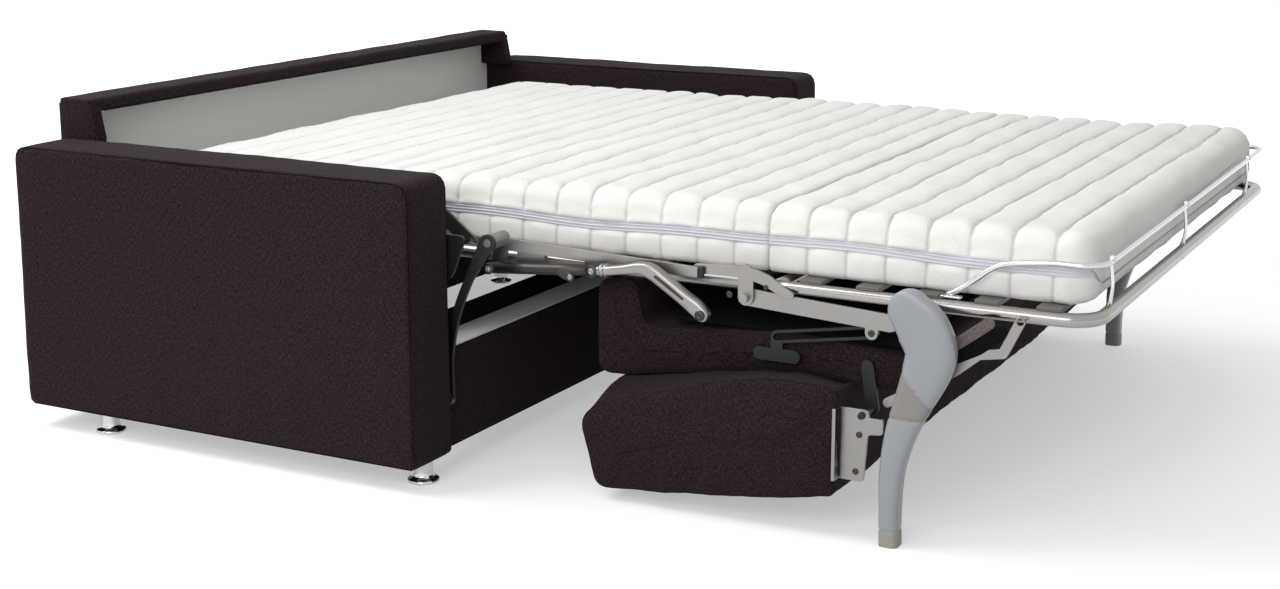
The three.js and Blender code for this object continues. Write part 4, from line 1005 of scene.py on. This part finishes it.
def add_gear():
    # smooth cast arm that rises to an elbow and runs down to its big rivet
    route = [(-1.2700, 0.4352), (-1.292, 0.4375), (-1.330, 0.4435), (-1.362, 0.4490), (-1.386, 0.4452),
             (-1.412, 0.4300), (-1.450, 0.4055), (-1.476, 0.3885), (-1.4900, 0.3770)]
    widths = [0.017, 0.018, 0.019, 0.023, 0.029, 0.028, 0.027, 0.031, 0.029]
    cast = blade(route, widths, 0.7715, 0.7962, count=90, power=3.2, sides=32)
    groove = blade([(-1.400, 0.4395), (-1.425, 0.4240), (-1.455, 0.4045)], [0.006, 0.007, 0.005],
                   0.7950, 0.7968, count=24, power=6.0, sides=16)
    start, way = np.array((PIN_X, -1.2815, 0.4366)), np.array((0, -0.0255, 0.0022))
    collars = [pipe([start + way * a, start + way * (a + 0.22)], 0.0128, 24) for a in (0.0, 0.34)]
    head = rivet(0.7960, -1.490, 0.377, 0.0098, 0.0042)
    gear("bent_arm_casting", [cast, groove, *collars, head], [SATIN, DARK], "bent_arms", ["bent_arm"],
         choose=[0, 1, 0, 0, 1])
    # round drive tube between two eyes, with a lug under it
    places = ((-1.046, 0.4164), (-1.12, 0.4226), (-1.19, 0.4284), (-1.256, 0.4338))
    tube = pipe([(0.7835, y, z) for y, z in places], 0.0106, 24)
    eye = turned([(0.0115, -0.0125), (0.0128, -0.0115), (0.0128, 0.0115), (0.0115, 0.0128)],
                 np.array((PIN_X, -1.266, 0.4347)), "x", 32)
    ear = turned([(0.0098, -0.0125), (0.0108, -0.0118), (0.0108, 0.0118), (0.0098, 0.0126)],
                 np.array((PIN_X, -1.041, 0.416)), "x", 32)
    lug = blade([(-1.196, 0.4270), (-1.210, 0.4215), (-1.2205, 0.4190)], [0.015, 0.017, 0.017],
                0.7905, 0.7962, count=16, power=5.0, sides=20)
    heads = [rivet(0.7960, -1.2205, 0.4190, 0.0055, 0.0026), rivet(0.7962, -1.266, 0.4347, 0.0062, 0.003),
             rivet(0.7962, -1.041, 0.416, 0.0055, 0.003)]
    gear("drive_tube_round", [tube, eye, ear, lug, *heads], [DARK, SATIN], "drive_tubes", ["drive_tube"],
         slot="dark_steel", choose=[0, 0, 0, 0, 1, 1, 1])
    cap = bevel_block((0.7529, -1.4788, 0.4366), (0.7607, -1.4665, 0.4574), 0.0018, 0.004)
    gear("rail_end_cap", [cap], RUBBER, "bed_middle", slot="black_trim")
    gear("fold_plate_rivets", [rivet(0.7526, -1.5286, 0.4114, 0.0068, 0.0030),
                               rivet(0.7526, -1.600, 0.432, 0.0050, 0.0024)], DARK, "bed_foot")
    gear("flat_bar_rivet", [rivet(0.7463, -1.800, 0.370, 0.0062, 0.0026)], DARK, "bed_foot")
    web = blade([(-1.952, 0.3500), (-1.994, 0.3740), (-2.036, 0.4020)], [0.030, 0.034, 0.022],
                0.7529, 0.7540, count=20, power=5.0, sides=16)
    band = blade([(-1.9469, 0.3640), (-1.980, 0.3885), (-2.014, 0.4150)], [0.020, 0.021, 0.021],
                 0.7541, 0.7553, count=20, power=8.0, sides=16)
    gear("strut_web", [web, band], [BLACK, STRAP], "rear_struts", slot="black_trim", choose=[0, 1])
    screws = [rivet(0.7906, -1.7993, 0.1971, 0.0058, 0.0026), rivet(0.7906, -1.7940, 0.1290, 0.0058, 0.0026),
              screw(0.8012, -1.7616, 0.2260, 0.0055, 0.0022), screw(0.8012, -1.7616, 0.1300, 0.0055, 0.0022)]
    leaf = bevel_block((0.7902, -1.7652, 0.1160), (0.7914, -1.7616, 0.2400), 0.0004)
    gear("backrest_plate_screws", [*screws, leaf], [DARK, RUBBER], "backrest", choose=[0, 0, 0, 0, 1])


add_gear()


# CAD pieces that keep their shape
def dress(names, mat):
    """Give CAD pieces a material."""
    for name in names:
        obj = NODES[name]
        obj.data.materials.clear()
        obj.data.materials.append(mat)


def pair(*names):
    """The left and right node of each name."""
    return [f"{n}_{s}" for n in names for s, _ in SIDES]


dress(["back_lining", "front_rail_liner"], LINING)
dress(["front_rail_lip", "seat_board"], BLACK)
dress(["rear_sill"], UPHOLSTERY)
dress(["middle_frame", "head_frame"], SATIN)
dress(pair("side_rail", "flat_bar", "fold_plate", "backrest_plate", "rear_strut"), SATIN)
dress(pair("side_plate", "crank", "swing_arm"), DARK)
dress(pair("seat_runner", "hinge_bracket"), RUBBER)


# Floor, light and camera
def lit_by_view(tree):
    """One where the camera or a gloss or glass ray looks, else zero."""
    path = tree.nodes.new("ShaderNodeLightPath")
    rays = [S(tree, path.outputs[k]) for k in ("Is Camera Ray", "Is Glossy Ray", "Is Transmission Ray")]
    return rays[0].max(rays[1]).max(rays[2])


def skylight(tree):
    """Studio light from all round, with more from above and the left and a little more from behind."""
    where = tree.nodes.new("ShaderNodeTexCoord")
    parts = tree.nodes.new("ShaderNodeSeparateXYZ")
    tree.links.new(where.outputs["Generated"], parts.inputs[0])
    x, y, z = (S(tree, o) for o in parts.outputs)
    return z.max(0.0) * 0.34 + (x * -1.0).max(0.0) * 0.26 + y.max(0.0) * 0.10 + 0.36


def add_floor():
    me = bpy.data.meshes.new("floor")
    me.from_pydata([(-30, -30, 0), (30, -30, 0), (30, 30, 0), (-30, 30, 0)], [], [(0, 1, 2, 3)])
    floor = bpy.data.objects.new("floor", me)
    bpy.context.scene.collection.objects.link(floor)
    m = Mat("pale_floor", base=(0.66, 0.66, 0.66), rough=0.75, specular=0.1)
    # a glow that only the camera and gloss or glass rays see, and that grows with distance
    seen = lit_by_view(m.t)
    glow = m.t.nodes.new("ShaderNodeEmission")
    x, y, _ = m.xyz(m.coords())
    away = ((x * x + y * y) ** 0.5 / 2.2 - 1.0).clamp()
    feed(m.t, glow.inputs["Strength"], seen * (away * 0.45 + 0.42))
    both = m.t.nodes.new("ShaderNodeAddShader")
    m.t.links.new(m.shader.outputs[0], both.inputs[0])
    m.t.links.new(glow.outputs[0], both.inputs[1])
    m.t.links.new(both.outputs[0], m.t.nodes["Material Output"].inputs[0])
    me.materials.append(m.mat)


def add_lamp(name, place, target, size, power):
    data = bpy.data.lights.new(name, "AREA")
    data.shape, data.size, data.size_y = "RECTANGLE", *size
    data.energy = power
    lamp = bpy.data.objects.new(name, data)
    lamp.location = place
    lamp.rotation_euler = (Vector(target) - Vector(place)).to_track_quat("-Z", "Y").to_euler()
    bpy.context.scene.collection.objects.link(lamp)


def add_world():
    world = bpy.data.worlds.new("studio")
    bpy.context.scene.world = world
    world.use_nodes = True
    light = world.node_tree.nodes["Background"]
    light.inputs[0].default_value = (1, 1, 1, 1)
    feed(world.node_tree, light.inputs[1], lit_by_view(world.node_tree).max(skylight(world.node_tree)))
    bpy.context.scene.view_settings.view_transform = "Standard"


def add_camera():
    """The camera that was fitted to the photo, in millimetres of lens and degrees."""
    data = bpy.data.cameras.new("camera")
    data.sensor_width, data.lens, data.shift_y = 36.0, 54.17, -0.04
    data.clip_end = 60
    camera = bpy.data.objects.new("camera", data)
    camera.location = (-3.8249, -1.8655, 1.2205)
    yaw, pitch = math.radians(27.80), math.radians(11.91)
    look = Vector((math.cos(yaw) * math.cos(pitch), math.sin(yaw) * math.cos(pitch), -math.sin(pitch)))
    camera.rotation_euler = look.to_track_quat("-Z", "Y").to_euler()
    bpy.context.scene.collection.objects.link(camera)
    bpy.context.scene.camera = camera


add_floor()
add_lamp("key", (-1.8, 2.6, 4.2), (0, 0.0, 0.3), (3.2, 2.6), 160)
add_lamp("side", (-4.6, -0.6, 2.4), (0, -0.3, 0.4), (2.6, 2.0), 62)
add_world()
add_camera()
